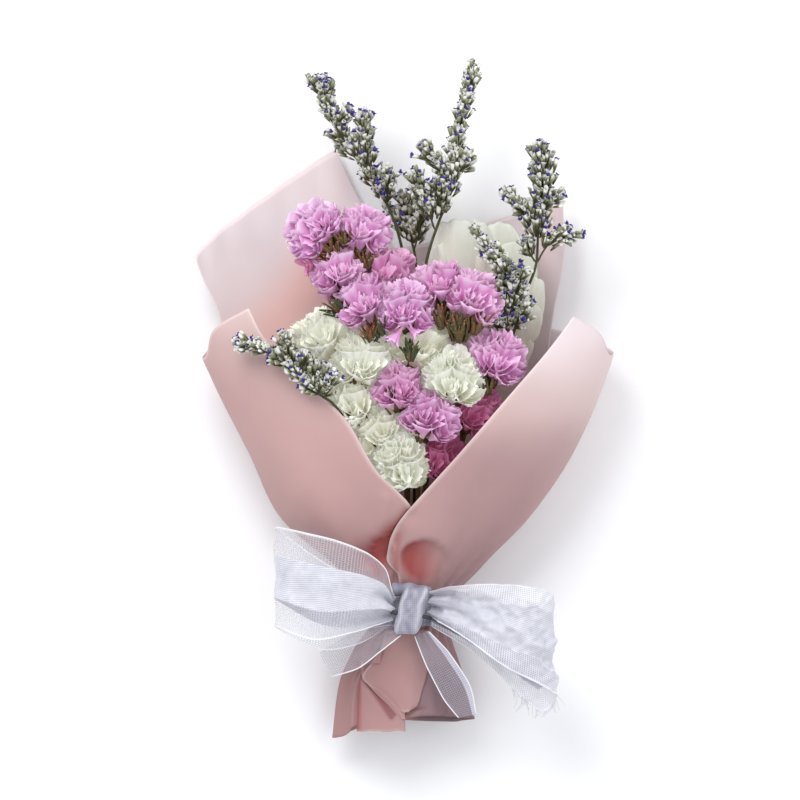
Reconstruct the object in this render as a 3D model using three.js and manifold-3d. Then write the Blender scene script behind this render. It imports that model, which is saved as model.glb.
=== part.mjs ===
// A small bouquet of dried flowers, wrapped in matte pink film and tied with a ribbon bow.
// It lies on its back: +Z is up, towards the viewer of its front, and +Y runs from the handle to the flowers.
// Millimetres. Z = 0 is the surface that the back of the wrapping lies on.
import * as THREE from "three";
import { mergeVertices } from "three/addons/utils/BufferGeometryUtils.js";
import Module from "manifold-3d";

const wasm = await Module();
wasm.setup();

// Driving dimensions of the wrapping and of what it holds.
const filmThickness = 0.6;
const filmPitch = 1.5;
const neckY = -77;
const clearance = 0.35;
const leastDetail = 0.1;
const stemGap = 0.4;
const coreShare = 0.45;
const tieHeight = 7;
const tieThickness = 0.7;
const ribbonThickness = 0.6;
const ribbonLift = 0.9;

const colours = {
  film: 0xd9a9a6,
  filmInside: 0xe8c9c6,
  ribbon: 0xdfe0ea,
  tie: 0x2b2b33,
  green: 0x6f7446,
  pink: 0xd585c6,
  white: 0xe4e3cf,
  cream: 0xdcdcc8,
  lavender: 0x9a9f86,
};

const turnStep = Math.PI * (3 - Math.sqrt(5));
const radians = THREE.MathUtils.degToRad;
const mix = THREE.MathUtils.lerp;
const vector = (p) => new THREE.Vector3(...p);

// The same scattered number between 0 and 1 for the same seed.
function scattered(seed) {
  const wave = Math.sin(seed * 12.9898 + 78.233) * 43758.5453;
  return wave - Math.floor(wave);
}

// A smooth curve through rows of [place, value], held level past its ends.
function smoothCurve(rows) {
  const slope = (i) => {
    const [before, after] = [rows[Math.max(i - 1, 0)], rows[Math.min(i + 1, rows.length - 1)]];
    return (after[1] - before[1]) / (after[0] - before[0]);
  };
  return (place) => {
    let i = 0;
    while (i < rows.length - 2 && place > rows[i + 1][0]) i += 1;
    const [from, to] = [rows[i], rows[i + 1]];
    const span = to[0] - from[0];
    const t = THREE.MathUtils.clamp((place - from[0]) / span, 0, 1);
    const [tt, ttt] = [t * t, t * t * t];
    return (
      (2 * ttt - 3 * tt + 1) * from[1] +
      (ttt - 2 * tt + t) * span * slope(i) +
      (3 * tt - 2 * ttt) * to[1] +
      (ttt - tt) * span * slope(i + 1)
    );
  };
}

// A closed three.js geometry as a solid with its faces pointing out.
function solidOf(geometry) {
  const bare = new THREE.BufferGeometry().setAttribute("position", geometry.getAttribute("position"));
  if (geometry.index) bare.setIndex(geometry.index);
  const merged = mergeVertices(bare, 1e-4);
  const place = merged.getAttribute("position");
  const corners = merged.index.array;
  const faces = [];
  let volume = 0;
  for (let i = 0; i < corners.length; i += 3) {
    const [a, b, c] = [corners[i], corners[i + 1], corners[i + 2]];
    if (a === b || b === c || c === a) continue;
    faces.push(a, b, c);
    const [pa, pb, pc] = [a, b, c].map((n) => new THREE.Vector3().fromBufferAttribute(place, n));
    volume += pa.dot(pb.cross(pc));
  }
  if (volume < 0) faces.reverse();
  const mesh = new wasm.Mesh({
    numProp: 3,
    vertProperties: Float32Array.from(place.array),
    triVerts: Uint32Array.from(faces),
  });
  return new wasm.Manifold(mesh);
}

// Moves every vertex of a geometry by a rule that takes and returns a THREE.Vector3. The places are
// rounded first, so that a corner shared by two faces moves to one place.
function shaped(geometry, rule) {
  const place = geometry.getAttribute("position");
  const point = new THREE.Vector3();
  for (let i = 0; i < place.count; i += 1) {
    point.fromBufferAttribute(place, i).multiplyScalar(1e5).round().multiplyScalar(1e-5);
    const moved = rule(point);
    place.setXYZ(i, moved.x, moved.y, moved.z);
  }
  return geometry;
}

const joined = (solids) => solids.reduce((whole, next) => whole.add(next));

// The largest body of a solid, so that no loose scrap of a cut stays.
function largest(solid) {
  const bodies = solid.decompose();
  return bodies.reduce((best, next) => (next.volume() > best.volume() ? next : best));
}

const bouquet = new THREE.Group();

function addPiece(name, solid, colour, roughness = 0.85) {
  const mesh = largest(solid.simplify(leastDetail)).getMesh();
  const geometry = new THREE.BufferGeometry();
  geometry.setAttribute("position", new THREE.BufferAttribute(Float32Array.from(mesh.vertProperties), 3));
  geometry.setIndex(new THREE.BufferAttribute(Uint32Array.from(mesh.triVerts), 1));
  const flat = geometry.toNonIndexed();
  flat.computeVertexNormals();
  const material = new THREE.MeshStandardMaterial({ color: colour, roughness, metalness: 0 });
  const piece = new THREE.Mesh(flat, material);
  piece.name = name;
  bouquet.add(piece);
}

// The outermost surface of the wrapping: an oval cone whose left, right, back, widest and front places
// follow Y, from the end of the handle, through the tied neck, to the open top.
const wrapLeft = smoothCurve([
  [-126, -25], [-104, -20], [-77, -9.8], [-62, -24], [-44, -45],
  [-20, -57.5], [12, -73], [40, -82], [70, -88], [100, -92],
]);
const wrapRight = smoothCurve([
  [-126, 28], [-104, 23], [-77, 17.3], [-62, 29], [-44, 47],
  [-20, 64], [12, 77.5], [40, 83], [70, 87], [100, 90],
]);
const wrapBack = smoothCurve([
  [-126, 2.6], [-104, 3], [-77, 3.5], [-62, 1.2], [-44, -0.8], [-20, -1.5], [100, -1.5],
]);
const wrapWidest = smoothCurve([
  [-126, 13], [-104, 14], [-77, 16.5], [-62, 18], [-44, 21], [-20, 23], [12, 25], [40, 26], [100, 26],
]);
const wrapFront = smoothCurve([
  [-126, 24], [-104, 25], [-77, 30], [-62, 37], [-44, 45.5], [-20, 52], [12, 57], [40, 57], [100, 57],
]);
const pleatDepth = smoothCurve([
  [-126, 2.2], [-104, 1.6], [-84, 0.6], [-77, 0.45], [-62, 1], [-44, 0.7], [-20, 0], [100, 0],
]);
const pleatCount = 6;
const pleatPhase = 0.6;

// A point of the wrapping at an angle round it (0 right, 90 front, 180 left, 270 back), with layers
// counted inwards from the outermost and depth measured inwards from the layer's outer face.
function wrapPoint(angle, y, layer, depth) {
  const turn = radians(angle);
  const middle = (wrapLeft(y) + wrapRight(y)) / 2;
  const across = (wrapRight(y) - wrapLeft(y)) / 2;
  const widest = wrapWidest(y);
  const upright = Math.sin(turn) > 0 ? wrapFront(y) - widest : widest - wrapBack(y);
  const inwards = layer * filmPitch + depth - pleatDepth(y) * Math.sin(pleatCount * turn + pleatPhase);
  const x = middle + (across - inwards) * Math.cos(turn);
  const z = widest + (upright - inwards) * Math.sin(turn);
  return new THREE.Vector3(x, y, Math.max(z, layer * filmPitch + depth));
}

// One layer of film, between a start and an end angle that follow Y, cut at its bottom and top along u.
// All the layers bend at the same rows round the neck.
const sharedRows = [-101, -89, -77, -69, -59, -46, -33, -20];
function filmLayer({ layer, start, end, bottom, top, across, upperRows }, grow = 0) {
  const along = sharedRows.length + upperRows;
  const sheet = shaped(new THREE.BoxGeometry(1, 1, 1, across, along, 1), (p) => {
    const u = p.x + 0.5;
    const row = Math.round((p.y + 0.5) * along);
    const above = row - sharedRows.length;
    const bent = row === 0 ? bottom(u) - grow : sharedRows[row - 1];
    const y = above > 0 ? mix(sharedRows.at(-1), top(u) + grow, above / upperRows) : bent;
    const depth = p.z > 0 ? -grow : filmThickness + grow;
    const wider = 2 * grow * Math.sign(end(y) - start(y));
    return wrapPoint(mix(start(y) - wider, end(y) + wider, u), y, layer, depth);
  });
  return solidOf(sheet);
}

const films = {
  film_front_right: {
    layer: 0,
    start: smoothCurve([
      [-126, 112], [-104, 115], [-77, 112], [-60, 106], [-54, 100],
      [-40, 87], [-24, 75], [-2, 60], [18, 47], [31, 38.4],
    ]),
    end: () => -110,
    bottom: smoothCurve([[0, -119], [0.4, -116], [0.7, -122], [1, -120]]),
    top: smoothCurve([[0, 31], [0.1, 26], [0.26, 16.5], [0.6, 27], [1, 38]]),
    across: 17,
    upperRows: 3,
    colour: colours.film,
  },
  film_front_left: {
    layer: 1,
    start: smoothCurve([
      [-126, 78], [-104, 72], [-77, 62], [-60, 70], [-39, 87],
      [-26, 102], [-7, 111], [8, 122], [22, 132], [34, 136],
    ]),
    end: () => 285,
    bottom: smoothCurve([[0, -116], [0.25, -120], [0.5, -125], [1, -121]]),
    top: smoothCurve([[0, 34], [0.12, 27], [0.3, 15.5], [0.6, 27], [1, 40]]),
    across: 17,
    upperRows: 3,
    colour: colours.film,
  },
  film_back_left: {
    layer: 2,
    start: smoothCurve([[-126, 150], [-77, 150], [-40, 178], [0, 198], [30, 208.7], [53, 201.6], [92, 200]]),
    end: smoothCurve([
      [-126, 300], [-77, 300], [-40, 292], [0, 288], [30, 281], [57, 268], [72, 261], [93, 254.4],
    ]),
    bottom: smoothCurve([[0, -116], [1, -113]]),
    top: smoothCurve([[0, 52.9], [0.28, 63.8], [0.46, 70.7], [0.63, 77.7], [0.88, 88.1], [1, 92.7]]),
    across: 9,
    upperRows: 4,
    colour: colours.filmInside,
  },
  film_back_right: {
    layer: 3,
    start: smoothCurve([[-126, 20], [-77, 10], [-40, -25], [0, -40], [24, -43], [51, -40.5], [74, -42.5]]),
    end: smoothCurve([[-126, -130], [-77, -130], [0, -115], [50, -105], [74, -100]]),
    bottom: smoothCurve([[0, -113], [1, -115]]),
    top: smoothCurve([[0, 74], [0.35, 67.3], [0.6, 60], [1, 52]]),
    across: 8,
    upperRows: 4,
    colour: colours.filmInside,
  },
};
for (const [name, film] of Object.entries(films)) addPiece(name, filmLayer(film), film.colour, 0.6);

// A tapering rod along a smooth path, with closed ends and few sides.
function rod(path, radiusFrom, radiusTo, sides, steps, grow = 0) {
  const curve = new THREE.CatmullRomCurve3(path.map(vector), false, "centripetal");
  const frames = curve.computeFrenetFrames(steps, false);
  const straight = new THREE.CylinderGeometry(1, 1, 1, sides, steps);
  return solidOf(shaped(straight, (p) => {
    const t = 0.5 - p.y;
    const i = Math.round(t * steps);
    const radius = mix(radiusFrom, radiusTo, t) + grow;
    const reach = (i === 0 ? -grow : 0) + (i === steps ? grow : 0);
    return curve
      .getPoint(i / steps)
      .addScaledVector(frames.normals[i], p.x * radius)
      .addScaledVector(frames.binormals[i], p.z * radius)
      .addScaledVector(frames.tangents[i], reach);
  }));
}

// A pointed grain or blade between two points, widest at a share of its length, and flattened across.
function blade(from, to, { width, thickness = width, sides = 4, widestAt = 0.55, turn = 0 }, grow = 0) {
  const axis = to.clone().sub(from);
  const length = axis.length();
  const direction = axis.clone().normalize();
  const level = Math.abs(direction.z) > 0.9 ? new THREE.Vector3(1, 0, 0) : new THREE.Vector3(0, 0, 1);
  const side = direction.clone().cross(level).normalize().applyAxisAngle(direction, turn);
  const up = direction.clone().cross(side);
  const profile = [[0, -grow], [0.5, widestAt * length], [0, length + grow]];
  const lathe = new THREE.LatheGeometry(profile.map(([r, h]) => new THREE.Vector2(r, h)), sides);
  return solidOf(shaped(lathe, (p) => from
    .clone()
    .addScaledVector(side, p.x * (width + 2 * grow))
    .addScaledVector(up, p.z * (thickness + 2 * grow))
    .addScaledVector(direction, p.y)));
}

// The heads of papery flowers: where each one is, how large, and the stem that bears it. The cream ones
// have broader, flatter florets.
const broadFlorets = { notch: 0.76, cup: 0.78 };
const tufts = {
  pink_tuft_01: { at: [-31.5, 63, 42], radius: 11.5, stem: "pink_a" },
  pink_tuft_02: { at: [-14, 62, 41], radius: 11, stem: "pink_a" },
  pink_tuft_03: { at: [-22.5, 48, 44], radius: 10.5, stem: "pink_a" },
  pink_tuft_04: { at: [-4.5, 47, 39], radius: 11, stem: "pink_b" },
  pink_tuft_05: { at: [-13.5, 36.5, 47], radius: 11.5, stem: "pink_b" },
  pink_tuft_06: { at: [2, 34, 50], radius: 12, stem: "pink_b" },
  pink_tuft_07: { at: [14, 42, 44], radius: 11, stem: "pink_b" },
  pink_tuft_08: { at: [26.5, 37.5, 46], radius: 12, stem: "pink_b" },
  pink_tuft_09: { at: [35, 15.5, 44], radius: 12, stem: "pink_c" },
  pink_tuft_10: { at: [-0.5, 4.5, 49], radius: 10.5, stem: "pink_d" },
  pink_tuft_11: { at: [11, -5.5, 48], radius: 12, stem: "pink_d" },
  pink_tuft_12: { at: [28, -4, 38], radius: 11, stem: "pink_c" },
  pink_tuft_13: { at: [15.5, -22, 36.5], radius: 10.5, stem: "pink_d" },
  white_tuft_01: { at: [-28.5, 24, 40], radius: 12, stem: "white_a" },
  white_tuft_02: { at: [-14.5, 15.5, 45], radius: 12.5, stem: "white_a" },
  white_tuft_03: { at: [-18, -1, 41], radius: 12, stem: "white_a" },
  white_tuft_04: { at: [-8.5, -11, 41], radius: 11, stem: "white_b" },
  white_tuft_05: { at: [0, -21.5, 40.5], radius: 12.5, stem: "white_b" },
  white_tuft_06: { at: [19.5, 8.5, 46], radius: 13, stem: "white_c" },
  white_tuft_07: { at: [7, 20.5, 43], radius: 12, stem: "white_c" },
  cream_head_01: { at: [24, 55, 28], radius: 16, stem: "cream", florets: 14, ...broadFlorets },
  cream_head_02: { at: [43, 50, 25], radius: 14, stem: "cream", ...broadFlorets },
  cream_head_03: { at: [48, 31, 27], radius: 13, stem: "cream", ...broadFlorets },
  cream_head_04: { at: [43, 15.5, 27], radius: 11, stem: "cream", ...broadFlorets },
};

// The branching stems: where each trunk ends and forks to its tufts.
const stems = {
  pink_a: { end: [-19, 36, 27], radius: 1.2 },
  pink_b: { end: [4, 22, 30], radius: 1.3 },
  pink_c: { end: [24, -10, 28], radius: 1.2 },
  pink_d: { end: [7, -20, 32], radius: 1.2 },
  white_a: { end: [-13, -6, 28], radius: 1.2 },
  white_b: { end: [-3, -36, 29], radius: 1.2 },
  white_c: { end: [13.5, 0, 30], radius: 1.2 },
  cream: { end: [35, 28, 12], radius: 1.4 },
};

// Sprays of fine sea lavender: the path of the main stem above the neck, and its side branches, each with
// the share of its length along which grains grow.
const sprays = {
  lavender_tall_left: {
    path: [
      [2, 48, 26], [-3, 68.5, 28], [-8, 78, 29], [-14, 87.5, 30],
      [-21.5, 98, 31], [-27, 108.5, 31], [-28.5, 117, 30],
    ],
    grainsFrom: 0.3,
    branches: [
      { path: [[-10, 81.5, 29.5], [-12, 89, 33], [-13, 97, 34], [-13.6, 104.5, 34]], grainsFrom: 0.25 },
      { path: [[-22.5, 99.5, 31], [-22, 103, 34], [-20, 105, 35]], grainsFrom: 0.2 },
      { path: [[-5, 72, 28.5], [-4.6, 77, 33], [-4.2, 82, 35]], grainsFrom: 0.1 },
      { path: [[-27.5, 110, 31], [-30, 114, 33], [-32.5, 117, 34]], grainsFrom: 0.2 },
      { path: [[-14, 87.5, 30], [-19, 92, 27], [-21.5, 95.5, 25]], grainsFrom: 0.2 },
    ],
  },
  lavender_tall_middle: {
    path: [
      [9, 46, 34], [11, 56, 35], [14.6, 66.5, 36], [18.2, 76, 37],
      [20, 85, 38], [21, 93.5, 38], [23.2, 104.5, 38], [25.6, 113, 37], [27, 119.5, 36],
    ],
    grainsFrom: 0.42,
    branches: [
      { path: [[19, 78.5, 37], [14, 86, 39], [9, 92, 40]], grainsFrom: 0.15 },
      { path: [[19.5, 81, 37.5], [23, 85.5, 38], [25.5, 89, 38.5]], grainsFrom: 0.2 },
      { path: [[13, 62.5, 36], [9.5, 72.5, 38], [5, 81.5, 39]], grainsFrom: 0.3 },
      { path: [[15, 67.5, 36], [14.5, 74, 40], [14.2, 79, 42]], grainsFrom: 0.2 },
    ],
  },
  lavender_low_middle: {
    path: [[6, 50, 24], [4, 60, 24], [2.3, 67, 25], [1.6, 73, 26]],
    grainsFrom: 0.25,
    branches: [
      { path: [[5, 55, 24], [7, 62, 27], [8, 68, 29]], grainsFrom: 0.2 },
      { path: [[4, 60, 24], [-1, 65, 23], [-4, 69, 22]], grainsFrom: 0.2 },
      { path: [[2.4, 66.5, 25], [4.5, 72, 25], [6, 76, 26]], grainsFrom: 0.2 },
    ],
  },
  lavender_forked_right: {
    path: [
      [28, 0, 23], [40.5, 21, 32], [46, 38, 42], [50.3, 50, 44],
      [51, 60, 44], [51.5, 68, 45], [53, 78, 46], [52.3, 86, 46], [51.2, 91, 46],
    ],
    grainsFrom: 0.42,
    branches: [
      { path: [[51, 62, 44], [48, 68, 45], [43.5, 71.5, 46], [39.8, 75.5, 46]], grainsFrom: 0.2 },
      { path: [[51.8, 70, 45], [55, 72, 46], [58, 73.5, 46]], grainsFrom: 0.3 },
      { path: [[50.3, 50, 44], [54, 56.5, 45], [58.5, 60.5, 46], [63.5, 60.5, 46]], grainsFrom: 0.3 },
      { path: [[50, 51, 44], [48, 54.5, 45], [46.4, 57.5, 46]], grainsFrom: 0.3 },
      {
        path: [
          [43.3, 28.5, 37], [40.6, 37, 43], [39.4, 46, 46], [36.5, 51.5, 46], [32, 56, 46], [28.4, 60, 46],
        ],
        grainsFrom: 0.35,
      },
      { path: [[40.3, 38.5, 43.5], [43, 43, 47], [44.3, 46, 49]], grainsFrom: 0.2 },
    ],
  },
  lavender_low_left: {
    path: [
      [-13, -19, 46], [-22.5, -4.5, 53.5], [-28.5, 0.3, 55], [-34.1, 5.1, 56],
      [-40.4, 11.6, 56], [-47.7, 17, 55.5], [-55, 19.7, 54],
    ],
    grainsFrom: 0.5,
    branches: [
      { path: [[-30.5, 2, 55.3], [-28.5, 6, 56.5], [-27, 9.5, 57.5]], grainsFrom: 0.15 },
      { path: [[-36.9, 8, 56], [-36.3, 11.5, 57], [-35.3, 15, 58]], grainsFrom: 0.2 },
      { path: [[-40.4, 11.6, 56], [-41.5, 17, 57], [-43, 21.5, 57]], grainsFrom: 0.2 },
    ],
  },
};

// Places of the stems in the tied neck: each starts out to the side that it will spread to. They are
// drawn together and pushed apart in turn, until they only just clear each other.
const neckMiddle = new THREE.Vector2(3.75, 16.5);
const neckSpread = 22;
const drawRounds = 450;
const pushRounds = 600;
const drawShare = 0.985;
const lavenderRadius = 0.85;
const bundle = [
  ...Object.entries(stems).map(([name, stem]) => ({ name, aim: stem.end, radius: stem.radius })),
  ...Object.entries(sprays).map(([name, spray]) => ({ name, aim: spray.path[0], radius: lavenderRadius })),
];
for (const stem of bundle) {
  const [x, y, z] = stem.aim;
  stem.place = new THREE.Vector2(x, z).sub(neckMiddle).multiplyScalar(neckSpread / (y - neckY));
}
for (let round = 0; round < pushRounds; round += 1) {
  if (round < drawRounds) for (const stem of bundle) stem.place.multiplyScalar(drawShare);
  bundle.forEach((a, i) => bundle.slice(i + 1).forEach((b) => {
    const apart = b.place.clone().sub(a.place);
    const short = a.radius + b.radius + stemGap - apart.length();
    if (short <= 0) return;
    apart.setLength(short / 2);
    a.place.sub(apart);
    b.place.add(apart);
  }));
}
const neckPlace = Object.fromEntries(bundle.map((stem) => [stem.name, stem.place.clone().add(neckMiddle)]));
const bundleRadius = Math.max(...bundle.map((stem) => stem.place.length() + stem.radius));

// The part of a stem that runs straight through the handle and the neck, cut at a slightly uneven length.
const handleEndY = -111;
const neckTopY = -72;
function throughNeck(name) {
  const { x, y: z } = neckPlace[name];
  return [[x, handleEndY + 2 * scattered(x), z], [x, -95, z], [x, -84, z], [x, neckTopY, z]];
}

// The way a tuft faces: away from where its branch leaves the trunk, and a little up.
function facing(tuft) {
  const from = vector(stems[tuft.stem].end);
  return vector(tuft.at).sub(from).normalize().add(new THREE.Vector3(0, 0.1, 0.25)).normalize();
}

// A branching stem of statice, with a collar of scale leaves under each tuft.
function flowerStem(name, grow = 0) {
  const stem = stems[name];
  const end = vector(stem.end);
  const lean = end.clone().sub(new THREE.Vector3(neckPlace[name].x, neckTopY, neckPlace[name].y));
  const before = end.clone().addScaledVector(lean, -0.35).toArray();
  const parts = [rod([...throughNeck(name), before, stem.end], stem.radius, stem.radius * 0.85, 5, 9, grow)];
  Object.values(tufts).filter((tuft) => tuft.stem === name).forEach((tuft, n) => {
    const way = facing(tuft);
    const behind = (share) => vector(tuft.at).addScaledVector(way, -share * tuft.radius);
    const foot = behind(0.85);
    const root = end.clone().addScaledVector(lean, -0.01).toArray();
    const seat = behind(coreShare).addScaledVector(way, -clearance).toArray();
    parts.push(rod([root, foot.toArray(), seat], 0.95, 0.8, 4, 3, grow));
    const side = way.clone().cross(new THREE.Vector3(0, 0, 1)).normalize();
    for (let k = 0; k < 2; k += 1) {
      const turn = k * Math.PI + n;
      const out = side.clone().applyAxisAngle(way, turn);
      const from = foot.clone().addScaledVector(out, -0.4);
      const to = behind(0.7).addScaledVector(out, 0.62 * tuft.radius);
      parts.push(blade(from, to, { width: 3.6, thickness: 1.2, turn: Math.PI / 2 }, grow));
    }
  });
  return joined(parts);
}

// The bare stem and branches of a spray.
function sprayStem(name, grow = 0) {
  const spray = sprays[name];
  const trunk = [...throughNeck(name), ...spray.path];
  const parts = [rod(trunk, lavenderRadius, 0.5, 4, 16, grow)];
  for (const branch of spray.branches) parts.push(rod(branch.path, 0.6, 0.45, 3, 3, grow));
  return parts;
}

// Calyx grains set along a branch, leaning forwards to each side in turn.
const grainLength = 6.2;
const grainSpacing = 3.6;
const clearOfTufts = (point) => Object.values(tufts).every(
  (tuft) => point.distanceTo(vector(tuft.at)) > tuft.radius + 0.5,
);
function grainsAlong(path, from, seed, grow) {
  const curve = new THREE.CatmullRomCurve3(path.map(vector), false, "centripetal");
  const length = curve.getLength();
  const count = Math.round((length * (1 - from)) / grainSpacing);
  const grains = [];
  for (let n = 0; n <= count; n += 1) {
    const t = Math.min(0.995, from + ((1 - from) * n) / count);
    const at = curve.getPointAt(t);
    const way = curve.getTangentAt(t);
    const side = way.clone().cross(new THREE.Vector3(0, 0, 1)).normalize();
    side.applyAxisAngle(way, n * turnStep + scattered(seed + n) * 0.8);
    const out = side.multiplyScalar(n === count ? 0.15 : 0.75).add(way).normalize();
    const size = grainLength * (0.85 + 0.4 * scattered(seed + n + 50));
    const tip = at.clone().addScaledVector(out, size);
    if (!clearOfTufts(tip) || !clearOfTufts(at)) continue;
    const start = at.clone().addScaledVector(out, -0.5);
    grains.push(blade(start, tip, { width: 3, sides: 3, widestAt: 0.64, turn: n }, grow));
  }
  return grains;
}

function lavenderSpray(name, grow = 0) {
  const spray = sprays[name];
  const seed = 10 * (1 + Object.keys(sprays).indexOf(name));
  const parts = sprayStem(name, grow);
  parts.push(...grainsAlong(spray.path, spray.grainsFrom, seed, grow));
  spray.branches.forEach((branch, n) => {
    parts.push(...grainsAlong(branch.path, branch.grainsFrom, seed + 7 * n, grow));
  });
  return joined(parts);
}

for (const name of Object.keys(stems)) addPiece(`stem_${name}`, flowerStem(name), colours.green);

// Each spray clears the flower stems and the sprays before it.
const sprayNames = Object.keys(sprays);
sprayNames.forEach((name, n) => {
  let solid = lavenderSpray(name);
  for (const stem of Object.keys(stems)) solid = solid.subtract(flowerStem(stem, clearance));
  for (const earlier of sprayNames.slice(0, n)) {
    solid = solid.subtract(lavenderSpray(earlier, clearance));
  }
  addPiece(name, solid, colours.lavender);
});

// Directions spread evenly over a ball from the one it faces to its foot, a little scattered.
function spreadDirections(way, count, seed) {
  const side = way.clone().cross(new THREE.Vector3(0, 0, 1)).normalize();
  const up = way.clone().cross(side);
  return Array.from({ length: count }, (_, n) => {
    const rise = 1 - (2 * (n + 0.5)) / count + 0.1 * (scattered(seed + n) - 0.5);
    const around = n * turnStep + seed + 0.5 * scattered(seed + n + 30);
    const flat = Math.sqrt(1 - Math.min(1, rise * rise));
    const out = way.clone().multiplyScalar(rise);
    out.addScaledVector(side, flat * Math.cos(around)).addScaledVector(up, flat * Math.sin(around));
    return out.normalize();
  });
}

// The field of the ball that is nearest to each direction: the numbers of its corners, in order round it.
function fieldsOf(directions) {
  const corners = [];
  const fields = directions.map(() => []);
  directions.forEach((a, i) => directions.slice(i + 1).forEach((b, m) => {
    directions.slice(i + m + 2).forEach((c, n) => {
      const corner = b.clone().sub(a).cross(c.clone().sub(a)).normalize();
      if (corner.dot(a) < 0) corner.negate();
      const nearest = corner.dot(a) + 1e-9;
      if (directions.some((other) => other.dot(corner) > nearest)) return;
      for (const field of [i, i + m + 1, i + m + n + 2]) fields[field].push(corners.length);
      corners.push(corner);
    });
  }));
  fields.forEach((field, i) => {
    const side = corners[field[0]].clone().cross(directions[i]).normalize();
    const up = directions[i].clone().cross(side);
    const around = (n) => Math.atan2(corners[n].dot(up), corners[n].dot(side));
    field.sort((a, b) => around(a) - around(b));
  });
  return { corners, fields };
}

// Tufts that press on each other are parted by the flat between them, which limits how far a tuft may
// reach in a direction.
function reachLimit(tuft) {
  const flats = Object.values(tufts).filter((other) => other !== tuft).map((other) => {
    const way = vector(other.at).sub(vector(tuft.at));
    const apart = way.length();
    const share = (apart * apart + tuft.radius ** 2 - other.radius ** 2) / (2 * apart);
    return { way: way.normalize(), reach: share - clearance / 2 };
  });
  return (direction) => flats.reduce((least, flat) => {
    const facingIt = direction.dot(flat.way);
    return facingIt > 0 ? Math.min(least, flat.reach / facingIt) : least;
  }, Infinity);
}

// A tuft: each field of its ball, but those of the foot, rises into a papery floret, a cup with a lobe at
// each corner, a notch between the lobes and a sunken middle.
const footFrom = -0.35;
function tuftSolid(tuft, seed) {
  const { radius, florets = 12, lobe = 0.85, notch = 0.6, cup = 0.58 } = tuft;
  const way = facing(tuft);
  const directions = spreadDirections(way, florets, seed);
  const { corners, fields } = fieldsOf(directions);
  const limit = reachLimit(tuft);
  const points = [];
  const faces = [];
  const addPoint = (direction, reach) => {
    direction.normalize();
    return points.push({ way: direction, reach: Math.min(reach, limit(direction)) }) - 1;
  };
  corners.forEach((corner) => addPoint(corner, coreShare * radius));
  fields.forEach((field, i) => {
    const axis = directions[i];
    const isFoot = axis.dot(way) < footFrom;
    const reach = radius * (0.98 + 0.12 * scattered(seed * 9 + i));
    const middle = addPoint(axis.clone(), isFoot ? coreShare * radius : cup * reach);
    const towards = (target, share) => axis.clone().lerp(target, share);
    const tips = field.map((n) => (isFoot ? n : addPoint(towards(corners[n], lobe), reach)));
    field.forEach((corner, k) => {
      const next = (k + 1) % field.length;
      if (isFoot) {
        faces.push(corner, field[next], middle);
        return;
      }
      const between = corners[corner].clone().add(corners[field[next]]).normalize();
      const dip = addPoint(towards(between, notch), 0.88 * reach);
      faces.push(corner, field[next], dip, corner, dip, tips[k], field[next], tips[next], dip);
      faces.push(tips[k], dip, middle, dip, tips[next], middle);
    });
  });
  const ball = new THREE.PolyhedronGeometry(points.flatMap((p) => p.way.toArray()), faces, 1, 0);
  return solidOf(shaped(ball, (p) => {
    const own = points.reduce((best, next) => (next.way.dot(p) > best.way.dot(p) ? next : best));
    return vector(tuft.at).addScaledVector(own.way, own.reach);
  }));
}

// Every tuft clears the stems, the sprays and the film.
const fatThings = joined([
  ...Object.keys(stems).map((name) => flowerStem(name, clearance)),
  ...sprayNames.map((name) => joined(sprayStem(name, clearance))),
  ...Object.values(films).map((film) => filmLayer(film, clearance)),
]);
const tuftColour = { pink: colours.pink, white: colours.white, cream: colours.cream };
Object.entries(tufts).forEach(([name, tuft], n) => {
  addPiece(name, tuftSolid(tuft, n + 1).subtract(fatThings), tuftColour[name.split("_")[0]]);
});

// The elastic tie round the stems, under the film.
const tieInner = bundleRadius + clearance;
const tieOuter = tieInner + tieThickness;
const tieProfile = [
  [tieInner, -tieHeight / 2], [tieOuter, -tieHeight / 2], [tieOuter, tieHeight / 2], [tieInner, tieHeight / 2],
  [tieInner, -tieHeight / 2],
].map(([radius, height]) => new THREE.Vector2(radius, height));
const tieMiddle = new THREE.Vector3(neckMiddle.x, neckY, neckMiddle.y);
const tie = shaped(new THREE.LatheGeometry(tieProfile, 14), (p) => p.clone().add(tieMiddle));
addPiece("stem_tie", solidOf(tie), colours.tie, 0.5);

// A ribbon: a strip along a smooth spine, as wide as a half-width vector that changes along it.
function ribbonStrip({ spine, halfWidths, along, across = 3, sag = 0 }) {
  const line = new THREE.CatmullRomCurve3(spine.map(vector), false, "centripetal");
  const sides = new THREE.CatmullRomCurve3(halfWidths.map(vector), false, "catmullrom");
  return solidOf(shaped(new THREE.BoxGeometry(1, 1, 1, along, across, 1), (p) => {
    const s = p.x + 0.5;
    const w = p.y * 2;
    const half = sides.getPoint(s);
    const face = line.getTangent(s).cross(half).normalize();
    const dip = sag * (1 - w * w) * Math.sin(Math.PI * s);
    return line.getPoint(s).addScaledVector(half, w).addScaledVector(face, p.z * ribbonThickness + dip);
  }));
}

// The turn of ribbon round the neck follows the film and stops short of itself under the knot.
const turnFrom = 98;
const turnTo = 442;
const turnWidth = 11;
const turnOfRibbon = shaped(new THREE.BoxGeometry(1, 1, 1, 30, 1, 1), (p) => {
  const y = neckY - 1 + p.y * turnWidth;
  const lift = p.z > 0 ? ribbonLift + ribbonThickness : ribbonLift;
  return wrapPoint(mix(turnFrom, turnTo, p.x + 0.5), y, 0, -lift);
});
addPiece("ribbon_turn", solidOf(turnOfRibbon), colours.ribbon, 0.5);

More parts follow.
